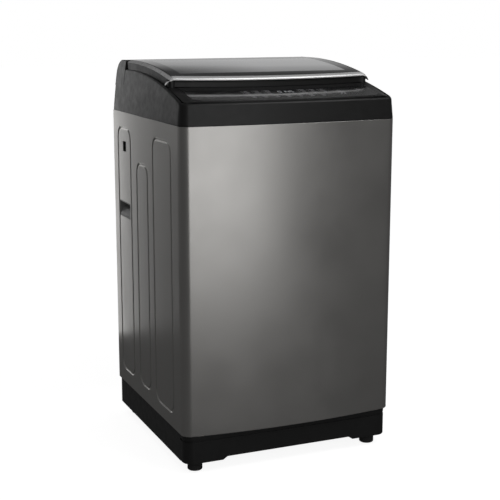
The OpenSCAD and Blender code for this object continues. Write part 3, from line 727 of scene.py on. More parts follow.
class WASHER_OT_cabinet_wrap(bpy.types.Operator):
    """Steel wrap: sides and bowed front folded from one sheet, with pressed panels in both sides"""

    bl_idname = "washer.cabinet_wrap"
    bl_label = "Cabinet wrap"

    def execute(self, context):
        outline = [tuple(point) for point, normal in cabinet_path()]
        outline += [(-HALF_WIDTH, REAR), (HALF_WIDTH, REAR)]
        wrap = outline_block("cabinet_wrap_sheet", outline, "Z", WRAP_LOW.z, WRAP_HIGH.z)
        size = sizes()
        for side in (LEFT, RIGHT):
            for spans in SIDE_PANELS:
                cut(wrap, groove_tool(side, spans, size.press, size.press_corner))
        near = 0.01 * MM
        round_picked(
            wrap, lambda middle, run: abs(middle.z - WRAP_LOW.z) < near and middle.y < REAR - 1 * MM,
            2 * MM, 3)
        round_edges(wrap, 0.7 * MM, 3)
        for side in (LEFT, RIGHT):
            for spans, radius in ((GRIP, 4 * MM), (PORT, 3 * MM)):
                cut(wrap, side_tool(side, spans, POCKET_DEPTH, radius))
        rear_fold, foot_fold = 22 * MM, 18 * MM
        keep = HALF_WIDTH - rear_fold
        cut(wrap, block("rear_gap", (-keep, REAR - 3 * MM, 0), (keep, REAR + 1 * MM, 1)))
        drop_faces(wrap, lambda centre, normal: normal.z > 0.9 and centre.z > WRAP_HIGH.z - 0.1 * MM)
        drop_faces(wrap, lambda centre, normal: abs(centre.x) < keep and centre.y > REAR - 4 * MM)
        drop_faces(wrap, lambda centre, normal: (
            abs(abs(centre.x) - HALF_WIDTH + POCKET_DEPTH) < near and abs(normal.x) > 0.999))
        pick_faces(wrap, lambda centre, normal: normal.z < -0.99 and centre.z < WRAP_LOW.z + 1 * MM)
        bpy.ops.object.mode_set(mode="EDIT")
        bpy.ops.mesh.inset(thickness=foot_fold)
        bpy.ops.mesh.delete(type="FACE")
        bpy.ops.object.mode_set(mode="OBJECT")
        wall(wrap, size.sheet)
        fit(wrap, FINISHES["steel"], "cabinet", ["cabinet_wrap"])
        return {"FINISHED"}


class WASHER_OT_side_grips(bpy.types.Operator):
    """Moulded hand grips in both side walls"""

    bl_idname = "washer.side_grips"
    bl_label = "Side grips"

    def execute(self, context):
        y0, y1, z0, z1 = (value * MM for value in GRIP)
        for side, name in ((LEFT, "left"), (RIGHT, "right")):
            low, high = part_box("side_handle_" + name)
            outer = max(abs(low.x), abs(high.x))
            inner = min(abs(low.x), abs(high.x))
            behind_rim = side * (outer - 1.4 * MM)
            grip = block("grip_" + name, (side * inner, low.y + 1 * MM, low.z + 2 * MM),
                         (behind_rim, high.y - 1 * MM, high.z - 2 * MM))
            rim = outline_block("rim", rounded_outline((low.y, low.z), (high.y, high.z), 5 * MM), "X",
                                behind_rim, side * outer)
            round_edges(rim, 0.5 * MM, 2)
            cut(grip, rim, "UNION")
            skin = 2.5 * MM
            roof = z1 - 3.5 * MM
            profile = [(inner + skin, roof), (inner + skin, z1 - 16 * MM), (outer - 10 * MM, z1 - 20 * MM),
                       (outer + 2 * MM, z0 + 4 * MM), (outer + 2 * MM, roof)]
            tool = outline_block("grip_tool", [(side * x, z) for x, z in profile], "Y", y0 + skin, y1 - skin)
            round_edges(tool, 2.5 * MM, 4)
            cut(grip, tool)
            round_edges(grip, 0.4 * MM, 2)
            fit(grip, FINISHES["grey"], "cabinet", ["side_handle_" + name])
        return {"FINISHED"}


class WASHER_OT_rear_panel(bpy.types.Operator):
    """Rear panel with pressed ribs, and the screws that hold it"""

    bl_idname = "washer.rear_panel"
    bl_label = "Rear panel"

    def execute(self, context):
        low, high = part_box("rear_panel")
        sheet_back = REAR + sizes().sheet
        panel = outline_block(
            "rear_panel_sheet", rounded_outline((low.x, low.z), (high.x, high.z), 3 * MM), "Y",
            REAR + 0.05 * MM, sheet_back)
        for x in (-150 * MM, 0, 150 * MM):
            rib = outline_block(
                "rib", rounded_outline((x - 35 * MM, 0.22), (x + 35 * MM, 0.78), 20 * MM), "Y",
                sheet_back - 0.5 * MM, high.y)
            for vertex in rib.data.vertices:
                if vertex.co.y > sheet_back:
                    vertex.co.x = x + (vertex.co.x - x) * 0.92
                    vertex.co.z = 0.5 + (vertex.co.z - 0.5) * 0.99
            cut(panel, rib, "UNION")
        grid = block("vent", (-0.245, REAR - 0.01, 0.79), (-0.205, REAR + 0.01, 0.7925))
        for vent in copies(grid, [(0, 0, -7 * MM * step) for step in range(6)]):
            cut(panel, vent)
        outlet_low, outlet_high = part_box("drain_outlet")
        middle = (outlet_low + outlet_high) / 2
        inside, outside = REAR - 10 * MM, REAR + 10 * MM
        cut(panel, rod("outlet_hole", 12.8 * MM, (middle.x, inside, middle.z), (middle.x, outside, middle.z)))
        round_edges(panel, 0.8 * MM, 2)
        fit(panel, FINISHES["steel"], "cabinet", ["rear_panel"])

        head = rod("screw", 4 * MM, (0, 0, 0), (0, 2.3 * MM, 0), 24)
        slot_tool = block("slot", (-3 * MM, 1.2 * MM, -0.5 * MM), (3 * MM, 4 * MM, 0.5 * MM))
        cross_tool = block("cross", (-0.5 * MM, 1.2 * MM, -3 * MM), (0.5 * MM, 4 * MM, 3 * MM))
        cut(head, slot_tool)
        cut(head, cross_tool)
        round_edges(head, 0.5 * MM, 2, 50)
        places = [(x, sheet_back, z * MM) for x in (-0.262, 0.262) for z in (150, 320, 490, 660, 820)]
        places += [(x, sheet_back, 0.832) for x in (-0.22, 0, 0.22)]
        screws = join("cabinet_screw_heads", copies(head, places))
        fit(screws, FINISHES["plated"], "cabinet", ["cabinet_screws"])
        return {"FINISHED"}


class WASHER_OT_plinth(bpy.types.Operator):
    """Plinth cover that wraps the front corners, with a shadow groove and a low arch"""

    bl_idname = "washer.plinth"
    bl_label = "Plinth cover"

    def execute(self, context):
        low, high = PLINTH_LOW, PLINTH_HIGH
        radius = sizes().corner
        seam = high.y
        corner_steps = 12
        path = [(Vector((high.x, seam)), Vector((1, 0)))]
        for cx, start, end in ((high.x - radius, 0, -90), (low.x + radius, -90, -180)):
            for step in range(corner_steps + 1):
                angle = math.radians(start + (end - start) * step / corner_steps)
                normal = Vector((math.cos(angle), math.sin(angle)))
                path.append((Vector((cx, low.y + radius)) + normal * radius, normal))
        path.append((Vector((low.x, seam)), Vector((-1, 0))))
        arch_end, arch_full, arch_height = 0.178, 0.166, 7.5 * MM
        front = (arch_end, 0.172, arch_full, 0.10, 0, -0.10, -arch_full, -0.172, -arch_end)
        between = len(path) // 2
        path[between:between] = [(Vector((x, low.y)), Vector((0, -1))) for x in front]

        def foot_of(point):
            """Height of the lower edge, which rises to a low arch in the middle."""
            rise = (arch_end - abs(point.x)) / (arch_end - arch_full)
            return low.z + arch_height * min(max(rise, 0), 1)

        top = high.z
        rows = []
        for point, normal in path:
            foot = foot_of(point)
            rows.append([
                (3.0, foot), (1.0, foot + 0.2 * MM), (0.25, foot + 0.9 * MM), (0, foot + 2 * MM),
                (0, 0.0800), (0.2, 0.0808), (2.2, 0.0812), (2.2, 0.0856), (0.2, 0.0860), (0, 0.0868),
                (0, top - 1.5 * MM), (0.5, top - 0.4 * MM), (1.5, top), (3, top)])
        count = len(rows[0]) - 1

        def place(u, v):
            index = round(u * (len(path) - 1))
            point, normal = path[index]
            inset, height = rows[index][round(v * count)]
            spot = point - normal * inset * MM
            return Vector((spot.x, spot.y, height))

        cover = laid_grid("plinth_cover", len(path) - 1, count, place)
        turn_outwards(cover, Vector((0, 0, 0.06)))
        wall(cover, 2.4 * MM)
        fit(cover, FINISHES["black"], "cabinet", ["plinth_front_cover"], angle=40)
        return {"FINISHED"}


def turn_outwards(piece, middle):
    """Turns an open skin's faces away from a point inside it."""
    outward = sum((face.center - middle).dot(face.normal) * face.area for face in piece.data.polygons)
    if outward < 0:
        edit_all(piece)
        bpy.ops.mesh.flip_normals()
        bpy.ops.object.mode_set(mode="OBJECT")


class WASHER_OT_feet(bpy.types.Operator):
    """Levelling feet: ribbed rubber pads on studs with rings for a thread"""

    bl_idname = "washer.feet"
    bl_label = "Levelling feet"

    def execute(self, context):
        for corner in ("front_left", "front_right", "rear_left", "rear_right"):
            low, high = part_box("foot_" + corner)
            centre = ((low.x + high.x) / 2, (low.y + high.y) / 2)
            radius = (high.x - low.x) / 2
            pad_top = 19.6 * MM
            outline = [(0, 1.5 * MM), (radius - 9 * MM, 1.5 * MM), (radius - 8 * MM, 0), (radius - 3 * MM, 0)]
            outline += arc(radius - 3 * MM, 3 * MM, 3 * MM, -90, 0, 4)
            for ring in range(3):
                z = (6 + ring * 4) * MM
                outline += [(radius, z), (radius - 0.8 * MM, z + 0.8 * MM), (radius - 0.8 * MM, z + 1.6 * MM),
                            (radius, z + 2.4 * MM)]
            outline += [(radius, pad_top - 1.5 * MM), (radius - 1.5 * MM, pad_top), (0, pad_top)]
            pad = turned("foot_pad", outline, 48, centre)
            stud = turned("stud", [(0, pad_top - 1 * MM)] + [
                (5 * MM - (0.35 * MM if step % 2 else 0), pad_top + step * 0.75 * MM) for step in range(56)
            ] + [(0, pad_top + 42 * MM)], 24, centre)
            foot = join("levelling_foot_" + corner, [pad, stud])
            fit(foot, FINISHES["rubber"], "leveller_" + corner, ["foot_" + corner])
        return {"FINISHED"}


# ---------------------------------------------------------------- top cover


class WASHER_OT_top_cover(bpy.types.Operator):
    """Black top cover: tapered walls, rounded edge, sloping panel, lid recess, throat and hinge towers"""

    bl_idname = "washer.top_cover"
    bl_label = "Top cover"
    skin = 2.6 * MM

    def taper(self, height):
        """How far the cover's sides lean in at a height."""
        lean = 5 * MM
        if height < PANEL_FRONT:
            return lean * (height - COVER_BOTTOM) / (PANEL_FRONT - COVER_BOTTOM)
        return lean + 7 * MM * (height - PANEL_FRONT) / (52 * MM)

    def rim_height(self, point, normal):
        """Height of the upper edge, following the side walls and dropping into the front corners."""
        side = min(max(abs(normal.x) * 1.15 - 0.1, 0), 1)
        return PANEL_FRONT + (max(wall_height(point.y), PANEL_FRONT) - PANEL_FRONT) * side

    def rim_at(self, y):
        """Height of the upper edge beside the panel at a depth y."""
        corner = sizes().corner
        turned_in = min(max((PANEL_Y + corner - y) / corner, 0), 1)
        return self.rim_height(Vector((0, y)), Vector((math.sqrt(1 - turned_in**2), turned_in)))

    def execute(self, context):
        ends = 26
        path = []
        for step in range(ends):
            y = TOWER_Y + (cabinet_path()[0][0].y - TOWER_Y) * step / ends
            path.append((Vector((HALF_WIDTH, y)), Vector((1, 0))))
        path += cabinet_path()
        for step in range(ends):
            y = TOWER_Y + (cabinet_path()[0][0].y - TOWER_Y) * (ends - 1 - step) / ends
            path.append((Vector((-HALF_WIDTH, y)), Vector((-1, 0))))
        edge = 7 * MM

        def profile(point, normal):
            """Inset and height up the wall, over its rounded edge and down its inner flank."""
            top = self.rim_height(point, normal)
            rows = [(1.2 * MM, COVER_BOTTOM), (0.3 * MM, COVER_BOTTOM + 0.4 * MM),
                    (0, COVER_BOTTOM + 1.4 * MM)]
            for share in (0.25, 0.5, 0.75, 1):
                height = COVER_BOTTOM + share * (top - edge - COVER_BOTTOM)
                rows.append((self.taper(height), height))
            lean = self.taper(top - edge)
            for step in range(1, 9):
                angle = math.radians(80 * step / 8)
                rows.append((lean + edge * (1 - math.cos(angle)), top - edge + edge * math.sin(angle)))
            return rows

        count = len(profile(*path[0])) - 1

        def place(u, v):
            point, normal = path[round(u * (len(path) - 1))]
            inset, height = profile(point, normal)[round(v * count)]
            spot = point - normal * inset
            return Vector((spot.x, spot.y, height))

        walls = laid_grid("cover_walls", len(path) - 1, count, place)
        turn_outwards(walls, Vector((0, 0, 0.86)))
        wall(walls, self.skin)
        parts = [walls, self.panel(), self.recess(), self.throat()]
        parts += [self.tower(side) for side in (LEFT, RIGHT)]
        parts.append(self.back())
        cover = join("top_cover_shell", parts)
        fit(cover, FINISHES["black"], "cabinet", ["top_cover"], angle=35)
        return {"FINISHED"}

    def panel(self):
        """Sloping panel between the front edge, the flanks and the lid recess."""
        inner = HALF_WIDTH - 14.5 * MM
        flank_from = 0.247

        def place(u, v):
            x = (2 * u - 1) * inner
            nearest = bowed_front(x, FRONT) + 8.0 * MM
            corner = sizes().corner - 12 * MM
            over = max(abs(x) - (inner - corner), 0)
            nearest += corner - math.sqrt(max(corner**2 - over**2, 0))
            y = nearest + (RECESS_FRONT + 3 * MM - nearest) * v
            height = panel_height(y)
            flank = min(max((abs(x) - flank_from) / (inner - flank_from), 0), 1)
            flank = flank * flank * (3 - 2 * flank)
            height += (self.rim_at(y) - 0.4 * MM - height) * flank
            return Vector((x, y, height))

        skin = laid_grid("cover_panel", 96, 14, place)
        turn_outwards(skin, Vector((0, -0.2, 0.8)))
        wall(skin, self.skin)
        return skin

    def recess(self):
        """Floor under the lid with its opening, and the step up to the panel."""
        x, back = 0.2645, REAR - 3 * MM
        floor = block("recess_floor", (-x, RECESS_FRONT, DECK - 3 * MM), (x, back, DECK))
        cut(floor, outline_block("opening", opening_outline(0), "Z", DECK - 0.02, DECK + 0.02))
        foot, behind = DECK - 1 * MM, RECESS_FRONT + 3 * MM
        step = outline_block(
            "panel_step", [(RECESS_FRONT, foot), (behind, foot), (behind, panel_height(behind)),
                           (RECESS_FRONT, panel_height(RECESS_FRONT))], "X", -x, x)
        cut(floor, step, "UNION")
        for side in (LEFT, RIGHT):
            x, y = side * 0.235, -0.05
            cut(floor, rod("drain", 3 * MM, (x, y, DECK - 0.01), (x, y, DECK + 0.01), 24))
        round_edges(floor, 1.2 * MM, 3)
        return floor

    def throat(self):
        """Collar that leads from the recess down into the tub."""
        bottom = 866 * MM
        outer, inner = opening_outline(3 * MM), opening_outline(0)
        count = len(inner)
        rows = [(outer, bottom), (outer, DECK - 1 * MM), (inner, DECK - 1 * MM), (inner, bottom)]

        def place(u, v):
            outline, height = rows[round(v * 4) % 4]
            x, y = outline[round(u * count) % count]
            return Vector((x, y, height))

        collar = laid_grid("throat", count, 4, place)
        low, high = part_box("detergent_drawer")
        cut(collar, block("drawer_window", (low.x - 2 * MM, 0.14, low.z - 1 * MM),
                          (high.x + 2 * MM, 0.2, high.z + 4 * MM)))
        return collar

    def tower(self, side):
        """Hinge tower beside the lid, rounded over at the back."""
        outline = [(TOWER_Y, DECK - 1 * MM), (TOWER_Y, COVER_TOP)]
        outline += arc(REAR - REAR_ROUND, COVER_TOP - REAR_ROUND, REAR_ROUND, 90, 0, 12)
        outline += [(REAR, DECK - 1 * MM)]
        tower = outline_block("tower", outline, "X", side * TOWER_X, side * (HALF_WIDTH - self.taper(DECK)))
        for vertex in tower.data.vertices:
            if abs(vertex.co.x) > 0.26:
                vertex.co.x = side * (HALF_WIDTH - self.taper(vertex.co.z))
        round_edges(tower, 3 * MM, 4, 40)
        cut(tower, rod("pin_hole", 4.1 * MM, (side * 0.24, LID_PIVOT.y, LID_PIVOT.z),
                       (side * 0.2635, LID_PIVOT.y, LID_PIVOT.z)))
        return tower

    def back(self):
        """Rear wall and the rear stretch of both side walls below the towers."""
        inside = 3 * MM
        heights = (COVER_BOTTOM, COVER_BOTTOM + 25 * MM, DECK + 5 * MM)
        front, corner, chamfer = TOWER_Y - 0.5 * MM, 5 * MM, 1.5 * MM

        def place(u, v):
            height = heights[round(v * 2)]
            x = HALF_WIDTH - self.taper(height)
            right = ((x, front), (x, REAR - corner), (x - chamfer, REAR - chamfer), (x - corner, REAR))
            corners = (*right, *((-x, y) for x, y in reversed(right)))
            spot = corners[round(u * 7)]
            return Vector((spot[0], spot[1], height))

        skin = laid_grid("cover_back", 7, 2, place)
        turn_outwards(skin, Vector((0, 0.1, 0.87)))
        wall(skin, inside)
        top_wall = block("back_wall", (-TOWER_X, REAR - inside, DECK),
                         (TOWER_X, REAR, COVER_TOP - REAR_ROUND))
        thread_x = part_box("inlet_valve")[1].x - 20 * MM
        gland_low, gland_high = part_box("cord_gland")
        gland = (gland_low + gland_high) / 2
        for x, z, radius in ((thread_x, gland.z, 13.9 * MM), (gland.x, gland.z, 9 * MM)):
            cut(top_wall, rod("hole", radius, (x, REAR - 0.02, z), (x, REAR + 0.02, z)))
        return join("cover_back", [skin, top_wall])


def opening_outline(grow):
    """Plan of the loading opening: a circle with its front and back cut straight."""
    radius, front, back = 190 * MM + grow, -132 * MM - grow, 165 * MM + grow
    points = []
    steps = 144
    for step in range(steps):
        angle = math.tau * step / steps
        x, y = radius * math.cos(angle), radius * math.sin(angle)
        points.append((x, min(max(y, front), back)))
    softened = []
    for index, (x, y) in enumerate(points):
        before, after = points[index - 1], points[(index + 1) % steps]
        softened.append(((before[0] + 2 * x + after[0]) / 4, (before[1] + 2 * y + after[1]) / 4))
    return softened


class WASHER_OT_rear_cover(bpy.types.Operator):
    """Rear cover between the hinge towers"""

    bl_idname = "washer.rear_cover"
    bl_label = "Rear cover"

    def execute(self, context):
        low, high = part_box("rear_cover")
        lip = 4 * MM
        outline = [(low.y, low.z), (low.y, high.z - lip)]
        outline += arc(low.y + lip, high.z - lip, lip, 180, 90, 5)
        outline += arc(high.y - REAR_ROUND, high.z - REAR_ROUND, REAR_ROUND, 90, 0, 12)
        outline += [(high.y, low.z)]
        cover = outline_block("rear_cover_shell", outline, "X", low.x, high.x)
        round_edges(cover, 1.0 * MM, 3, 40)
        drop_faces(cover, lambda centre, normal: normal.z < -0.9)
        wall(cover, 2.2 * MM)
        fit(cover, FINISHES["black"], "cabinet", ["rear_cover"])
        return {"FINISHED"}


# ---------------------------------------------------------------- control panel

KEY_ROW = 36 * MM
KEY_SIZE = (18 * MM, 9 * MM)
DISPLAY = (10 * MM, 78 * MM, 50 * MM, 32 * MM)
POWER = (206 * MM, 78 * MM, 9 * MM)
START = (150 * MM, 48 * MM, 34 * MM, 12 * MM)
OVERLAY_X = 243 * MM


def key_place(number):
    """Place across the panel of a programme key, numbered from 1."""
    return (number - 4) * 30 * MM + 2 * MM


def centred(x, y, width, height, radius):
    """A rectangle with round corners round a middle point."""
    return rounded_outline((x - width / 2, y - height / 2), (x + width / 2, y + height / 2), radius)


class WASHER_OT_control_overlay(bpy.types.Operator):
    """Glossy overlay with openings for the keys and the display, its printed marks and the display itself"""

    bl_idname = "washer.control_overlay"
    bl_label = "Control overlay"

    def outline(self):
        """Overlay outline: a bowed front edge between two round corners."""
        corner = 25 * MM
        back = (RECESS_FRONT - 1 * MM - PANEL_Y) / math.cos(PANEL_TILT)
        nearest = 12 * MM
        edge = OVERLAY_X
        points = [(edge, back)]
        points += arc(edge - corner, bowed_front(edge - corner, nearest) + corner, corner, 0, -84, 10)
        steps = 40
        for step in range(1, steps):
            x = (edge - corner) * (1 - 2 * step / steps)
            points.append((x, bowed_front(x, nearest)))
        points += arc(-edge + corner, bowed_front(edge - corner, nearest) + corner, corner, -96, -180, 10)
        points += [(-edge, back)]
        return points

    def execute(self, context):
        top, thick = 0.5 * MM, 2 * MM
        overlay = outline_block("overlay", self.outline(), "Z", top - thick, top)
        gap, deep = 0.35 * MM, 10 * MM
        for number in range(1, 8):
            hole = centred(key_place(number), KEY_ROW, KEY_SIZE[0] + 2 * gap, KEY_SIZE[1] + 2 * gap, 2.3 * MM)
            cut(overlay, outline_block("key_hole", hole, "Z", -deep, deep))
        hole = centred(START[0], START[1], START[2] + 2 * gap, START[3] + 2 * gap, 5.3 * MM)
        cut(overlay, outline_block("start_hole", hole, "Z", -deep, deep))
        x, y, radius = POWER
        cut(overlay, rod("power_hole", radius + gap, (x, y, -deep), (x, y, deep), 48))
        cut(overlay, outline_block("window_hole", centred(*DISPLAY, 3 * MM), "Z", -deep, deep))
        round_edges(overlay, 0.3 * MM, 2, 45)
        lay_on_panel(overlay)
        fit(overlay, FINISHES["gloss"], "cabinet", ["control_overlay"])

        x, y, width, height = DISPLAY
        window = outline_block(
            "display_glass", centred(x, y, width - 0.5 * MM, height - 0.5 * MM, 2.8 * MM),
            "Z", top - thick, top - 0.1 * MM)
        round_edges(window, 0.3 * MM, 2, 45)
        lay_on_panel(window)
        fit(window, FINISHES["window"], "cabinet", ["display_window"])
        self.digits(top)
        self.labels(top)
        return {"FINISHED"}

    def bar(self, x, y, width, height, top):
        """One thin printed bar."""
        return block("bar", (x - width / 2, y - height / 2, top - 0.1 * MM),
                     (x + width / 2, y + height / 2, top + 0.06 * MM))

    def digits(self, top):
        """Four seven segment digits behind the film."""
        lit = {"0": "abcdef", "1": "bc", "4": "bcfg", "5": "acdfg"}
        high, wide, line = 13 * MM, 7 * MM, 1.3 * MM
        places = {
            "a": (0, high / 2, wide, line), "d": (0, -high / 2, wide, line), "g": (0, 0, wide, line),
            "b": (wide / 2, high / 4, line, high / 2), "c": (wide / 2, -high / 4, line, high / 2),
            "e": (-wide / 2, -high / 4, line, high / 2), "f": (-wide / 2, high / 4, line, high / 2)}
        parts = []
        for index, digit in enumerate("0145"):
            middle = DISPLAY[0] + (index - 1.5) * 10.5 * MM
            for segment in lit[digit]:
                x, y, width, height = places[segment]
                parts.append(self.bar(
                    middle + x, DISPLAY[1] + y, width * 0.86, height * 0.86, top - 0.1 * MM))
        dot = 1.4 * MM
        for y in (-3 * MM, 3 * MM):
            parts.append(self.bar(DISPLAY[0], DISPLAY[1] + y, dot, dot, top - 0.1 * MM))
        digits = join("display_digits", parts)
        lay_on_panel(digits)
        fit(digits, FINISHES["digits"], "cabinet")

    def labels(self, top):
        """Programme columns beside the display and marks over the keys, as plain bars and dots."""
        parts = []
        for side in (LEFT, RIGHT):
            for column in range(3):
                for row in range(4):
                    x = DISPLAY[0] + side * (46 + 27 * column) * MM
                    y = DISPLAY[1] + (12 - 8.5 * row) * MM
                    width = (15 - 3 * ((row + column) % 3)) * MM
                    parts.append(self.bar(x, y, width, 1.5 * MM, top))
                    parts.append(self.bar(x - 11 * MM, y, 1.8 * MM, 1.8 * MM, top))
        for number in range(1, 8):
            parts.append(self.bar(key_place(number), KEY_ROW + 9 * MM, 11 * MM, 1.3 * MM, top))
        parts.append(self.bar(START[0], START[1] + 11 * MM, 22 * MM, 1.5 * MM, top))
        parts.append(self.bar(START[0], START[1] + 27 * MM, 12 * MM, 1.5 * MM, top))
        labels = join("printed_marks", parts)
        lay_on_panel(labels)
        # The printed marks glow with painted light.
        fit(labels, FINISHES["print"], "cabinet")


class WASHER_OT_keys(bpy.types.Operator):
    """Programme keys, power key and start key, each with its own mark and stem"""

    bl_idname = "washer.keys"
    bl_label = "Keys"

    def cap(self, outline, centre, name, body, marks):
        """A key's cap and stem as one piece, and its marks as another."""
        top, bottom = 0.7 * MM, -1.1 * MM
        cap = outline_block("cap", outline, "Z", bottom, top)
        round_edges(cap, 0.35 * MM, 3, 45)
        stem = rod("stem", 2.3 * MM, (*centre, -9 * MM), (*centre, bottom + 0.2 * MM), 16)
        key = join(name + "_cap", [cap, stem])
        lay_on_panel(key)
        fit(key, FINISHES["gloss"], body, [name])
        mark = join(name + "_mark", marks)
        lay_on_panel(mark)
        # The key marks glow with the print's painted light.
        fit(mark, FINISHES["print"], body)

    def mark(self, x, y, width, height):
        """One thin printed bar on top of a key."""
        top = 0.7 * MM
        return block("mark", (x - width / 2, y - height / 2, top - 0.1 * MM),
                     (x + width / 2, y + height / 2, top + 0.05 * MM))

    def execute(self, context):
        for number in range(1, 8):
            x = key_place(number)
            marks = [self.mark(x, KEY_ROW, (10 - number % 3) * MM, 1.4 * MM)]
            self.cap(centred(x, KEY_ROW, *KEY_SIZE, 2 * MM), (x, KEY_ROW), "key_%d" % number,
                     "key_%d_cap" % number, marks)
        x, y, radius = POWER
        low, high = 0.6 * MM, 0.75 * MM
        inner, outer = 4.2 * MM, 5.2 * MM
        ring = turned("ring", [(inner, low), (outer, low), (outer, high), (inner, high)], 40, (x, y))
        self.cap(arc(x, y, radius, 0, 352.5, 47), (x, y), "power_key", "power_key_cap",
                 [ring, self.mark(x, y + 4 * MM, 1.2 * MM, 5 * MM)])
        x, y, width, height = START
        arrow = outline_block(
            "arrow", [(x - 6 * MM, y - 3 * MM), (x - 1 * MM, y), (x - 6 * MM, y + 3 * MM)], "Z", low, high)
        bars = [self.mark(x + 3 * MM, y, 1.4 * MM, 6 * MM), self.mark(x + 6 * MM, y, 1.4 * MM, 6 * MM)]
        self.cap(centred(x, y, width, height, 5 * MM), (x, y), "start_key", "start_key_cap", [arrow, *bars])
        return {"FINISHED"}


# ---------------------------------------------------------------- lid

LID_HALF = 255 * MM
LID_FRONT = -158 * MM
SKIRT_REAR = 178 * MM
LID_DROP = 30 * MM
WINDOW_X = 222 * MM
WINDOW_FRONT = -104 * MM
WINDOW_BACK = 116 * MM
WINDOW_CORNER = 24 * MM


def lid_front(x, back=0.0):
    """Front edge of the lid at x, moved back by a distance."""
    return bowed_front(x, LID_FRONT) + back


def lid_path(inset):
    """Plan of the lid's sides and front, from rear right round to rear left, moved in by inset."""
    corner = 9 * MM
    side = LID_HALF - inset
    side_steps, corner_steps = 30, 6
    length = SKIRT_REAR - lid_front(side, inset) - corner
    path = []
    for step in range(side_steps):
        path.append(Vector((side, SKIRT_REAR - length * step / side_steps)))
    front = lid_front(side - corner, inset)
    path += [Vector(p) for p in arc(side - corner, front + corner, corner, 0, -90, corner_steps)]
    steps = 48
    for step in range(1, steps):
        x = (side - corner) * (1 - 2 * step / steps)
        path.append(Vector((x, lid_front(x, inset))))
    return path + [Vector((-p.x, p.y)) for p in reversed(path[:side_steps + corner_steps])]


class WASHER_OT_lid_frame(bpy.types.Operator):
    """Lid frame: bevelled rim, hanging skirts, hinge barrel and inner lining with the window opening"""

    bl_idname = "washer.lid_frame"
    bl_label = "Lid frame"

    def execute(self, context):
        outer = lid_path(0)
        count = len(outer) - 1

        def outward(index):
            """Outward direction of the lid's plan at one of its points."""
            before, after = outer[max(index - 1, 0)], outer[min(index + 1, count)]
            run = (after - before).normalized()
            return Vector((-run.y, run.x))

        def place(u, v):
            index = round(u * count)
            point = outer[index]
            normal = outward(index)
            facing_front = max(-normal.y, 0) ** 2
            top = lid_height(point.y) - 6 * MM * facing_front
            drop = LID_DROP + (16 * MM - LID_DROP) * facing_front
            out = 8 * MM + (-5 * MM - 8 * MM) * facing_front
            skirt_inside = out - 2.6 * MM
            rows = ((-6 * MM, 5 * MM), (-3.2 * MM, 5 * MM), (-3.2 * MM, 0.3 * MM), (-2.8 * MM, 0),
                    (-0.4 * MM, 0), (0.4 * MM, 0.4 * MM), (out - 0.8 * MM, 4.6 * MM), (out, 5.6 * MM),
                    (out, drop - 1 * MM), (out - 0.6 * MM, drop), (out - 2.4 * MM, drop),
                    (skirt_inside, drop - 1 * MM), (skirt_inside, 9 * MM), (-12 * MM, 9 * MM))
            push, down = rows[round(v * (len(rows) - 1))]
            spot = point + normal * push
            return Vector((spot.x, spot.y, top - down))

        rim = laid_grid("lid_rim", count, 13, place)
        turn_outwards(rim, Vector((0, 0, 0.9)))
        parts = [rim, self.lining(), self.barrel()]
        lid = join("lid_frame_moulding", parts)
        fit(lid, FINISHES["black"], "lid", ["lid_frame"], angle=35)
        # The slanting bands get the light grey painted highlight finish.
        lid.data.materials.append(FINISHES["bevel"])
        for face in lid.data.polygons:
            if self.on_painted_highlight_band(face.center, face.normal):
                face.material_index = 1
        return {"FINISHED"}

    def on_painted_highlight_band(self, centre, normal):
        """True on the slanting band along both sides of the lid, which gets the light grey painted highlight.
        """
        return abs(centre.x) > LID_HALF - 1 * MM and centre.y < SKIRT_REAR + 5 * MM and 0.5 < normal.z < 0.97

    def lining(self):
        """Inner lining: a crowned plate between the rim and the window."""
        inner = window_outline()
        count = len(inner)

        def edge_point(x, y):
            """Where a ray from the window's middle through a point meets the lid's edge."""
            side_edge, rear_edge = 0.252, 0.195
            middle = Vector((0, 8 * MM))
            ray = Vector((x, y)) - middle
            reach = 4.0
            for attempt in range(40):
                spot = middle + ray * reach
                if abs(spot.x) < side_edge and lid_front(spot.x, 8 * MM) < spot.y < rear_edge:
                    break
                reach -= 0.075
            return spot

        bottom, top = 10 * MM, 4.2 * MM
        rows = ((0, bottom), (1, bottom), (1, top + 1 * MM), (0, top), (0, bottom))

        def place(u, v):
            x, y = inner[round(u * count) % count]
            share, down = rows[round(v * 4)]
            spot = Vector((x, y)).lerp(edge_point(x, y), share)
            return Vector((spot.x, spot.y, lid_height(spot.y) - down))

        return laid_grid("lid_lining", count, 4, place)

    def barrel(self):
        """Hinge barrel along the rear edge, with the web that carries it."""
        x = TOWER_X - 2 * MM
        hinge_y, hinge_z = LID_PIVOT.y, LID_PIVOT.z
        barrel = rod("hinge_barrel", 11 * MM, (-x, hinge_y, hinge_z), (x, hinge_y, hinge_z), 48)
        web_front, under_glass = SKIRT_REAR - 8 * MM, LID_TOP - 4.3 * MM
        outline = [(web_front, LID_TOP - 9 * MM), (hinge_y, LID_TOP - 12 * MM),
                   (hinge_y, LID_TOP - 0.6 * MM), (0.186, LID_TOP - 0.1 * MM), (0.1845, LID_TOP),
                   (0.1842, under_glass), (web_front, under_glass)]
        cut(barrel, outline_block("hinge_web", outline, "X", -x, x), "UNION")
        round_edges(barrel, 0.5 * MM, 2, 40)
        cut(barrel, rod("pin_bore", 3.9 * MM, (-x - 0.01, hinge_y, hinge_z), (x + 0.01, hinge_y, hinge_z)))
        return barrel


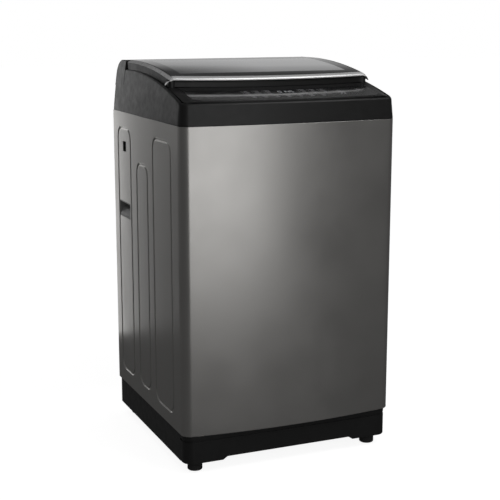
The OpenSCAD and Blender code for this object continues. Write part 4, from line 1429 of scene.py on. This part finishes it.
def window_outline():
    """Plan of the lid's window, its front edge bowed like the lid."""
    corner, back, ahead = WINDOW_CORNER, WINDOW_BACK, 40 * MM
    points = arc(WINDOW_X - corner, back - corner, corner, 0, 90, 8)
    points += [(x * WINDOW_X, back) for x in (0.6, 0.4, 0.2, 0, -0.2, -0.4, -0.6)]
    points += arc(-WINDOW_X + corner, back - corner, corner, 90, 180, 8)
    points += [(-WINDOW_X, y * MM) for y in (60, 30, 0, -30, -60)]
    front = lid_front(WINDOW_X - corner, ahead)
    points += arc(-WINDOW_X + corner, front + corner, corner, 180, 266, 8)
    steps = 24
    for step in range(1, steps):
        x = -(WINDOW_X - corner) * (1 - 2 * step / steps)
        points.append((x, lid_front(x, ahead)))
    points += arc(WINDOW_X - corner, front + corner, corner, 274, 360, 8)
    points += [(WINDOW_X, y * MM) for y in (-60, -30, 0, 30, 60)]
    return points


class WASHER_OT_lid_glass(bpy.types.Operator):
    """Crowned glass with ground edges"""

    bl_idname = "washer.lid_glass"
    bl_label = "Lid glass"

    def execute(self, context):
        half = LID_HALF - 3.4 * MM
        back = 0.1838
        corner = 8 * MM

        def place(u, v):
            x = (2 * u - 1) * half
            over = max(abs(x) - (half - corner), 0)
            cut_in = corner - math.sqrt(max(corner**2 - over**2, 0))
            front = lid_front(x, 14.5 * MM) + cut_in
            y = front + (back - cut_in * 0.5 - front) * v
            return Vector((x, y, lid_height(y)))

        glass = laid_grid("lid_glass_sheet", 72, 48, place)
        turn_outwards(glass, Vector((0, 0, 0.8)))
        wall(glass, sizes().glass)
        round_edges(glass, 0.6 * MM, 2, 45)
        fit(glass, FINISHES["glass"], "lid", ["lid_glass"])
        return {"FINISHED"}


class WASHER_OT_lid_trim(bpy.types.Operator):
    """Bright handle strip along the front of the lid, turned down over its corners"""

    bl_idname = "washer.lid_trim"
    bl_label = "Lid trim"

    def execute(self, context):
        bend = LID_HALF - 3 * MM
        wing = 17 * MM
        straight, turns = 72, 12
        spine = [(-bend, step / turns) for step in range(turns, 0, -1)]
        spine += [(bend * (2 * step / straight - 1), 0.0) for step in range(straight + 1)]
        spine += [(bend, step / turns) for step in range(1, turns + 1)]
        rows = ((0, 0), (4, -0.4), (8, -1.1), (11.5, -2.2), (13.5, -3.6), (14.8, -5.4), (15.5, -7.2),
                (15.6, -8.6), (14.8, -9.4), (10, -7.4), (5, -5), (0, -3.4))

        def place(u, v):
            x, over = spine[round(u * (len(spine) - 1))]
            ahead, drop = rows[round(v * len(rows)) % len(rows)]
            side = 1 if x > 0 else -1
            width = 1 - 0.25 * over**3
            lean = math.radians(45) * min(over * 3, 1)
            back = lid_front(x) + 13.5 * MM
            spot = Vector((x, back, lid_height(back) + 0.7 * MM))
            spot.x += side * (wing * over * math.cos(lean * 0.9) - drop * MM * math.sin(lean))
            spot.y -= ahead * MM * width - 3 * MM * over
            spot.z += drop * MM * math.cos(lean) - wing * 0.9 * over
            return spot

        strip = laid_grid("handle_strip", len(spine) - 1, len(rows), place)
        close_ends(strip)
        fit(strip, FINISHES["trim"], "lid", ["lid_trim"], angle=50)
        return {"FINISHED"}


def close_ends(piece):
    """Fills the open ends of a tube."""
    pick(piece)
    bpy.ops.object.mode_set(mode="EDIT")
    bpy.ops.mesh.select_mode(type="EDGE")
    bpy.ops.mesh.select_all(action="DESELECT")
    bpy.ops.mesh.select_non_manifold()
    bpy.ops.mesh.fill()
    bpy.ops.mesh.select_all(action="SELECT")
    bpy.ops.mesh.normals_make_consistent(inside=False)
    bpy.ops.object.mode_set(mode="OBJECT")


# ---------------------------------------------------------------- wash unit


class WASHER_OT_basket(bpy.types.Operator):
    """Perforated basket with pressed ribs, its base, the balance ring and the lint filters"""

    bl_idname = "washer.basket"
    bl_label = "Basket"

    def execute(self, context):
        low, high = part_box("basket")
        radius = high.x
        ribs, rib_depth = 12, 2.6 * MM

        def skin(u, v):
            """The basket's wall, pressed in along upright ribs."""
            angle = math.tau * u
            height = low.z + 3 * MM + (high.z - low.z - 3 * MM) * v
            press = rib_depth * max(0.0, math.cos(angle * ribs)) ** 3 * math.sin(math.pi * v) ** 0.3
            reach = radius - 0.4 * MM - press
            return Vector((reach * math.cos(angle), reach * math.sin(angle), height))

        wall_skin = laid_grid("basket_wall", sizes().holes_round * 4, sizes().hole_rows * 6, skin)
        self.perforate(wall_skin)
        turn_outwards(wall_skin, Vector((0, 0, (low.z + high.z) / 2)))
        wall(wall_skin, 0.9 * MM)
        hub_hole, sheet = 60 * MM, 1 * MM
        floor = turned("basket_floor", [
            (radius - 1.2 * MM, low.z + 4 * MM), (radius - 4 * MM, low.z), (hub_hole, low.z),
            (hub_hole, low.z + sheet), (radius - 5 * MM, low.z + sheet), (radius - 2.2 * MM, low.z + 5 * MM)])
        basket = join("basket_shell", [wall_skin, floor])
        fit(basket, FINISHES["stainless"], "spin_basket", ["basket"])

        ring_low, ring_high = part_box("balance_ring")
        outer, inner, top = ring_high.x, 194 * MM, ring_high.z
        profile = [(outer, ring_low.z), (outer, top - 6 * MM)]
        profile += arc(outer - 6 * MM, top - 6 * MM, 6 * MM, 0, 90, 5)
        profile += [(outer - 12 * MM, top - 1.2 * MM), (outer - 14 * MM, top)]
        profile += arc(inner + 8 * MM, top - 8 * MM, 8 * MM, 90, 180, 6) + [(inner, ring_low.z)]
        ring = turned("balance_ring_body", profile, 128)
        fit(ring, FINISHES["white"], "spin_basket", ["balance_ring"])

        filter_low, filter_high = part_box("lint_filter")
        parts = []
        for side in (LEFT, RIGHT):
            inside, outside = filter_high.x - 16 * MM, filter_high.x
            outline = rounded_outline((filter_low.y, filter_low.z), (filter_high.y, filter_high.z), 8 * MM)
            frame_part = outline_block("filter", outline, "X", side * inside, side * outside)
            hollow = outline_block(
                "hollow", rounded_outline((filter_low.y + 5 * MM, filter_low.z + 7 * MM),
                                          (filter_high.y - 5 * MM, filter_high.z - 12 * MM), 4 * MM), "X",
                side * (inside - 2 * MM), side * (outside - 2 * MM))
            cut(frame_part, hollow)
            round_edges(frame_part, 1 * MM, 2)
            parts.append(frame_part)
            bar = block("bar", (side * (inside + 1 * MM), filter_low.y + 4 * MM, filter_low.z + 12 * MM),
                        (side * (inside + 2.4 * MM), filter_high.y - 4 * MM, filter_low.z + 13.4 * MM))
            parts += copies(bar, [(0, 0, 7 * MM * step) for step in range(15)])
        filters = join("lint_filter_cages", parts)
        fit(filters, FINISHES["white"], "spin_basket", ["lint_filter"])
        return {"FINISHED"}

    def perforate(self, skin):
        """Opens a small eight sided hole at every place of the hole pattern."""
        around, rows = sizes().holes_round * 4, sizes().hole_rows * 6
        unpick_parts(skin, "VERT")
        low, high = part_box("basket")
        for vertex in skin.data.vertices:
            turn = (math.atan2(vertex.co.y, vertex.co.x) / math.tau * around) % around
            level = (vertex.co.z - low.z - 3 * MM) / (high.z - low.z - 3 * MM) * rows
            column, row = round(turn) % around, round(level)
            if row % 6 == 3 and column % 4 == (2 if (row // 6) % 2 else 0):
                vertex.select = True
        bpy.ops.object.mode_set(mode="EDIT")
        bpy.ops.mesh.bevel(offset=2.2 * MM, segments=2, affect="VERTICES")
        bpy.ops.mesh.select_mode(type="FACE")
        bpy.ops.object.mode_set(mode="OBJECT")
        for face in skin.data.polygons:
            face.select = len(face.vertices) >= 8
        bpy.ops.object.mode_set(mode="EDIT")
        bpy.ops.mesh.delete(type="FACE")
        bpy.ops.object.mode_set(mode="OBJECT")


class WASHER_OT_pulsator(bpy.types.Operator):
    """Pulsator: a dished disc with swept fins, and its cap"""

    bl_idname = "washer.pulsator"
    bl_label = "Pulsator"

    def execute(self, context):
        low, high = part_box("pulsator")
        radius = high.x
        floor, top = low.z, high.z
        fins = 6
        fin_height, boss_height, groove_depth = 13.5 * MM, 14 * MM, 1.5 * MM

        def skin(u, v):
            """The disc's top: swept fins with grooves between them, a boss and a turned down edge."""
            angle = math.tau * u
            reach = max(radius * v, 0.1 * MM)
            share = reach / radius
            swirl = angle + 0.9 * share
            ridge = max(0.0, math.cos(swirl * fins)) ** 4 * math.sin(math.pi * min(share * 1.08, 1)) ** 0.8
            groove = max(0.0, -math.cos(swirl * fins)) ** 6 * math.sin(math.pi * share)
            boss = max(0.0, 1 - share / 0.26) ** 0.6 if share < 0.26 else 0.0
            rise = fin_height * ridge + boss_height * boss - groove_depth * groove
            edge = 3 * MM * max(0.0, (share - 0.94) / 0.06) ** 2
            height = min(floor + 9 * MM + rise - edge, top)
            return Vector((reach * math.cos(angle), reach * math.sin(angle), height))

        disc = laid_grid("pulsator_disc", 240, 60, skin)
        turn_outwards(disc, Vector((0, 0, floor - 0.2)))
        wall(disc, 3 * MM)
        fit(disc, FINISHES["white"], "wash_pulsator", ["pulsator"], angle=60)
        cap_low, cap_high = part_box("pulsator_cap")
        cap_radius = 11.8 * MM
        outline = [(0, cap_low.z), (cap_radius, cap_low.z), (cap_radius, cap_high.z - 3 * MM),
                   (8.8 * MM, cap_high.z), (0, cap_high.z)]
        cap = turned("pulsator_screw_cap", outline, 48)
        fit(cap, FINISHES["grey"], "wash_pulsator", ["pulsator_cap"])
        return {"FINISHED"}


class WASHER_OT_tub(bpy.types.Operator):
    """Ring cover on the tub's rim, and the finish of the outer tub"""

    bl_idname = "washer.tub"
    bl_label = "Tub"

    def execute(self, context):
        low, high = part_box("tub_ring_cover")
        outer, inner = high.x, 203 * MM
        inside = outer - 2.6 * MM
        outline = [(outer, low.z), (outer, low.z + 12 * MM), (outer - 2 * MM, low.z + 14 * MM),
                   (inner + 5 * MM, low.z + 14.4 * MM), (inner + 3 * MM, high.z - 1 * MM),
                   (inner + 1.5 * MM, high.z), (inner, high.z - 1 * MM), (inner, low.z + 10.4 * MM),
                   (inside, low.z + 10.3 * MM), (inside, low.z)]
        ring = turned("tub_ring", outline, 128)
        clip = block("clip", (outer - 1.5 * MM, -9 * MM, low.z + 1 * MM),
                     (outer - 0.1 * MM, 9 * MM, low.z + 11 * MM))
        ring = join("tub_ring_cover_body", [ring] + turned_copies(clip, 12))
        fit(ring, FINISHES["white"], "tub", ["tub_ring_cover"])
        dress("outer_tub", FINISHES["white"])
        return {"FINISHED"}


class WASHER_OT_drive(bpy.types.Operator):
    """Motor with vented end bells and a winding, and finishes of the parts shown as the frame has them"""

    bl_idname = "washer.drive"
    bl_label = "Drive"

    def sleeve(self, name, inner, outer, low, high, centre):
        """A plain round sleeve."""
        return turned(name, [(inner, low), (outer, low), (outer, high), (inner, high)], 64, centre)

    def execute(self, context):
        low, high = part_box("motor")
        centre = ((low.x + high.x) / 2, (low.y + high.y) / 2)
        radius = (high.x - low.x) / 2
        bottom, top = low.z + 13 * MM, high.z - 8 * MM
        rim, waist, shoulder = radius - 2 * MM, radius - 8 * MM, radius - 9 * MM
        bell = [(0, low.z), (15 * MM, low.z), (16 * MM, bottom - 1 * MM), (shoulder, bottom),
                (radius - 3 * MM, bottom + 5 * MM), (rim, bottom + 14 * MM), (waist, bottom + 15 * MM),
                (waist, top - 15 * MM), (rim, top - 14 * MM), (radius - 3 * MM, top - 5 * MM),
                (shoulder, top), (0, top)]
        housing = turned("motor_bells", bell, 64, centre)
        vent = block("vent", (centre[0] + 26 * MM, -3 * MM, bottom - 5 * MM),
                     (centre[0] + 48 * MM, 3 * MM, bottom + 6 * MM))
        for tool in turned_copies(vent, 10, centre):
            cut(housing, tool)
        stack = self.sleeve(
            "stack", radius - 12 * MM, radius - 0.2 * MM, bottom + 16 * MM, top - 16 * MM, centre)
        stud_x = centre[0] + radius - 6 * MM
        stud = rod("stud", 6 * MM, (stud_x, centre[1], top - 20 * MM), (stud_x, centre[1], high.z), 20)
        motor = join("motor_housing", [housing, stack] + turned_copies(stud, 4, centre))
        fit(motor, FINISHES["cast"], "tub", ["motor"])
        coil = self.sleeve(
            "motor_winding", radius - 20 * MM, radius - 11 * MM, bottom + 9 * MM, top - 9 * MM, centre)
        fit(coil, FINISHES["copper"], "tub")
        for node, finish in (
            ("clutch_housing", "cast"), ("drive_plate", "plated"), ("drive_belt", "rubber"),
            ("drain_pump", "white"), ("pump_impeller", "grey"), ("basket_hub", "stainless"),
            ("spin_shaft", "stainless"), ("wash_shaft", "stainless"), ("clutch_pulley", "cast"),
            ("motor_pulley", "cast"), ("suspension_rods", "plated"), ("suspension_springs", "plated"),
            ("corner_braces", "plated"), ("foot_lock_nuts", "plated"), ("lid_hinge_pins", "plated"),
            ("lid_bumpers", "rubber"), ("cord_gland", "rubber"), ("drain_outlet", "grey"),
            ("base_frame", "black"), ("control_board", "board"), ("lid_sensor", "white"),
            ("inlet_valve", "white"), ("pressure_sensor", "white"), ("dispenser_housing", "white"),
            ("detergent_drawer", "white"),
        ):
            dress(node, FINISHES[finish])
        return {"FINISHED"}


# ---------------------------------------------------------------- stage


class WASHER_OT_stage(bpy.types.Operator):
    """Pale floor, soft studio light and the camera"""

    bl_idname = "washer.stage"
    bl_label = "Stage"

    def execute(self, context):
        stage = context.scene.washer_stage
        pick_nothing()
        bpy.ops.mesh.primitive_plane_add(size=40, location=(0, 0, -0.5 * MM))
        floor = context.object
        floor.name = "studio_floor"
        floor.data.materials.append(self.floor_paint())
        floor.visible_glossy = False
        floor.visible_diffuse = False
        self.world(context.scene)
        self.soft_box("front_light", (0.1, -2.3, 0.9), (0.1, 0, 0.9), (1.2, 1.8), stage.front_light)
        self.soft_box("side_light", (-0.34, 0.5, 0.65), (-0.34, 0, 0.65), (0.08, 1.0), stage.side_light)
        self.soft_box("top_light", (0.8, -1.3, 2.3), (0, 0, 0.9), (1.2, 1.2), stage.top_light)
        self.camera(context.scene, stage)
        return {"FINISHED"}

    def floor_paint(self):
        paint = Finish("floor_paint", (0.35, 0.35, 0.35), roughness=0.9)
        paint.vary_colour(paint.noise(3, 2), 0.01)
        paint.set("Emission Color", (1, 1, 1, 1))
        paint.set("Emission Strength", 0.9)
        return paint.material

    def world(self, scene):
        """White to the eye, an even soft light, and in reflections a dim room with a bright rear horizon."""
        world = bpy.data.worlds.new("studio")
        scene.world = world
        world.use_nodes = True
        nodes, links = world.node_tree.nodes, world.node_tree.links
        nodes.clear()

        def backdrop(strength):
            node = nodes.new("ShaderNodeBackground")
            node.inputs["Color"].default_value = (1, 1, 1, 1)
            node.inputs["Strength"].default_value = strength
            return node

        def step(source, start, end, low, high):
            node = nodes.new("ShaderNodeMapRange")
            for name, value in (("From Min", start), ("From Max", end), ("To Min", low), ("To Max", high)):
                node.inputs[name].default_value = value
            links.new(source, node.inputs["Value"])
            return node.outputs["Result"]

        def combine(operation, first, second):
            node = nodes.new("ShaderNodeMath")
            node.operation = operation
            links.new(first, node.inputs[0])
            links.new(second, node.inputs[1])
            return node.outputs[0]

        def choose(ray, otherwise, chosen):
            node = nodes.new("ShaderNodeMixShader")
            links.new(path.outputs[ray], node.inputs["Fac"])
            links.new(otherwise, node.inputs[1])
            links.new(chosen, node.inputs[2])
            return node.outputs["Shader"]

        path = nodes.new("ShaderNodeLightPath")
        coords = nodes.new("ShaderNodeTexCoord")
        split = nodes.new("ShaderNodeSeparateXYZ")
        links.new(coords.outputs["Generated"], split.inputs["Vector"])
        behind = step(split.outputs["Y"], 0.2, 0.8, 0, 1)
        above = step(split.outputs["Z"], -0.06, 0.02, 0, 1)
        lift = step(split.outputs["X"], 0.1, 0.4, 0, 0.2)
        low = step(combine("SUBTRACT", split.outputs["Z"], lift), 0.06, 0.18, scene.washer_stage.backdrop, 0)
        right = step(split.outputs["X"], -0.2, 0.25, 0.7, 0.5)
        horizon = combine("MULTIPLY", combine("MULTIPLY", behind, above), combine("MULTIPLY", low, right))
        room = step(split.outputs["Z"], -0.6, 0.3, 0.05, 0.10)
        mirrored = backdrop(1)
        links.new(combine("ADD", horizon, room), mirrored.inputs["Strength"])
        output = nodes.new("ShaderNodeOutputWorld")
        unseen = choose("Is Glossy Ray", backdrop(0.3).outputs[0], mirrored.outputs[0])
        links.new(choose("Is Camera Ray", unseen, backdrop(1).outputs[0]), output.inputs["Surface"])

    def soft_box(self, name, place, aim, size, brightness):
        """A rectangular light of an even brightness, not seen by the camera."""
        light = bpy.data.lights.new(name, "AREA")
        light.shape = "RECTANGLE"
        light.size, light.size_y = size
        light.energy = brightness * math.pi * size[0] * size[1]
        lamp = bpy.data.objects.new(name, light)
        bpy.context.collection.objects.link(lamp)
        lamp.location = place
        lamp.rotation_euler = (Vector(aim) - Vector(place)).to_track_quat("-Z", "Y").to_euler()
        lamp.visible_camera = False

    def camera(self, scene, stage):
        low, high = CAD_BOX
        target = Vector((0, -10 * MM, (low.z + high.z) / 2))
        a, e = stage.azimuth, stage.elevation
        back = Vector((math.sin(a) * math.cos(e), -math.cos(a) * math.cos(e), math.sin(e)))
        data = bpy.data.cameras.new("camera")
        data.lens = stage.lens
        data.sensor_width = 36
        camera = bpy.data.objects.new("camera", data)
        bpy.context.collection.objects.link(camera)
        camera.location = target + back * stage.distance
        camera.rotation_euler = (-back).to_track_quat("-Z", "Y").to_euler()
        scene.camera = camera
        scene.view_settings.view_transform = "Standard"


# ---------------------------------------------------------------- add-on


class WASHER_PT_panel(bpy.types.Panel):
    """Lists the washer's pieces in the 3D view's sidebar"""

    bl_label = "Washer"
    bl_idname = "WASHER_PT_panel"
    bl_space_type = "VIEW_3D"
    bl_region_type = "UI"
    bl_category = "Washer"

    def draw(self, context):
        for group in ("washer_sizes", "washer_colours", "washer_stage"):
            settings = getattr(context.scene, group)
            box = self.layout.box()
            for name in settings.__annotations__:
                box.prop(settings, name)
        for operator in OPERATORS:
            self.layout.operator(operator.bl_idname)


GROUPS = (WasherSizes, WasherColours, WasherStage)
OPERATORS = (
    WASHER_OT_cabinet_wrap, WASHER_OT_side_grips, WASHER_OT_rear_panel, WASHER_OT_plinth, WASHER_OT_feet,
    WASHER_OT_top_cover, WASHER_OT_rear_cover, WASHER_OT_control_overlay, WASHER_OT_keys, WASHER_OT_lid_frame,
    WASHER_OT_lid_glass, WASHER_OT_lid_trim, WASHER_OT_basket, WASHER_OT_pulsator, WASHER_OT_tub,
    WASHER_OT_drive, WASHER_OT_stage)


def register():
    for group in (*GROUPS, *OPERATORS, WASHER_PT_panel):
        bpy.utils.register_class(group)
    bpy.types.Scene.washer_sizes = PointerProperty(type=WasherSizes)
    bpy.types.Scene.washer_colours = PointerProperty(type=WasherColours)
    bpy.types.Scene.washer_stage = PointerProperty(type=WasherStage)


def unregister():
    del bpy.types.Scene.washer_stage
    del bpy.types.Scene.washer_colours
    del bpy.types.Scene.washer_sizes
    for group in (WASHER_PT_panel, *reversed(OPERATORS), *reversed(GROUPS)):
        bpy.utils.unregister_class(group)


def main():
    register()
    make_finishes()
    for operator in OPERATORS:
        family, name = operator.bl_idname.split(".")
        getattr(getattr(bpy.ops, family), name)()


if __name__ == "__main__":
    main()
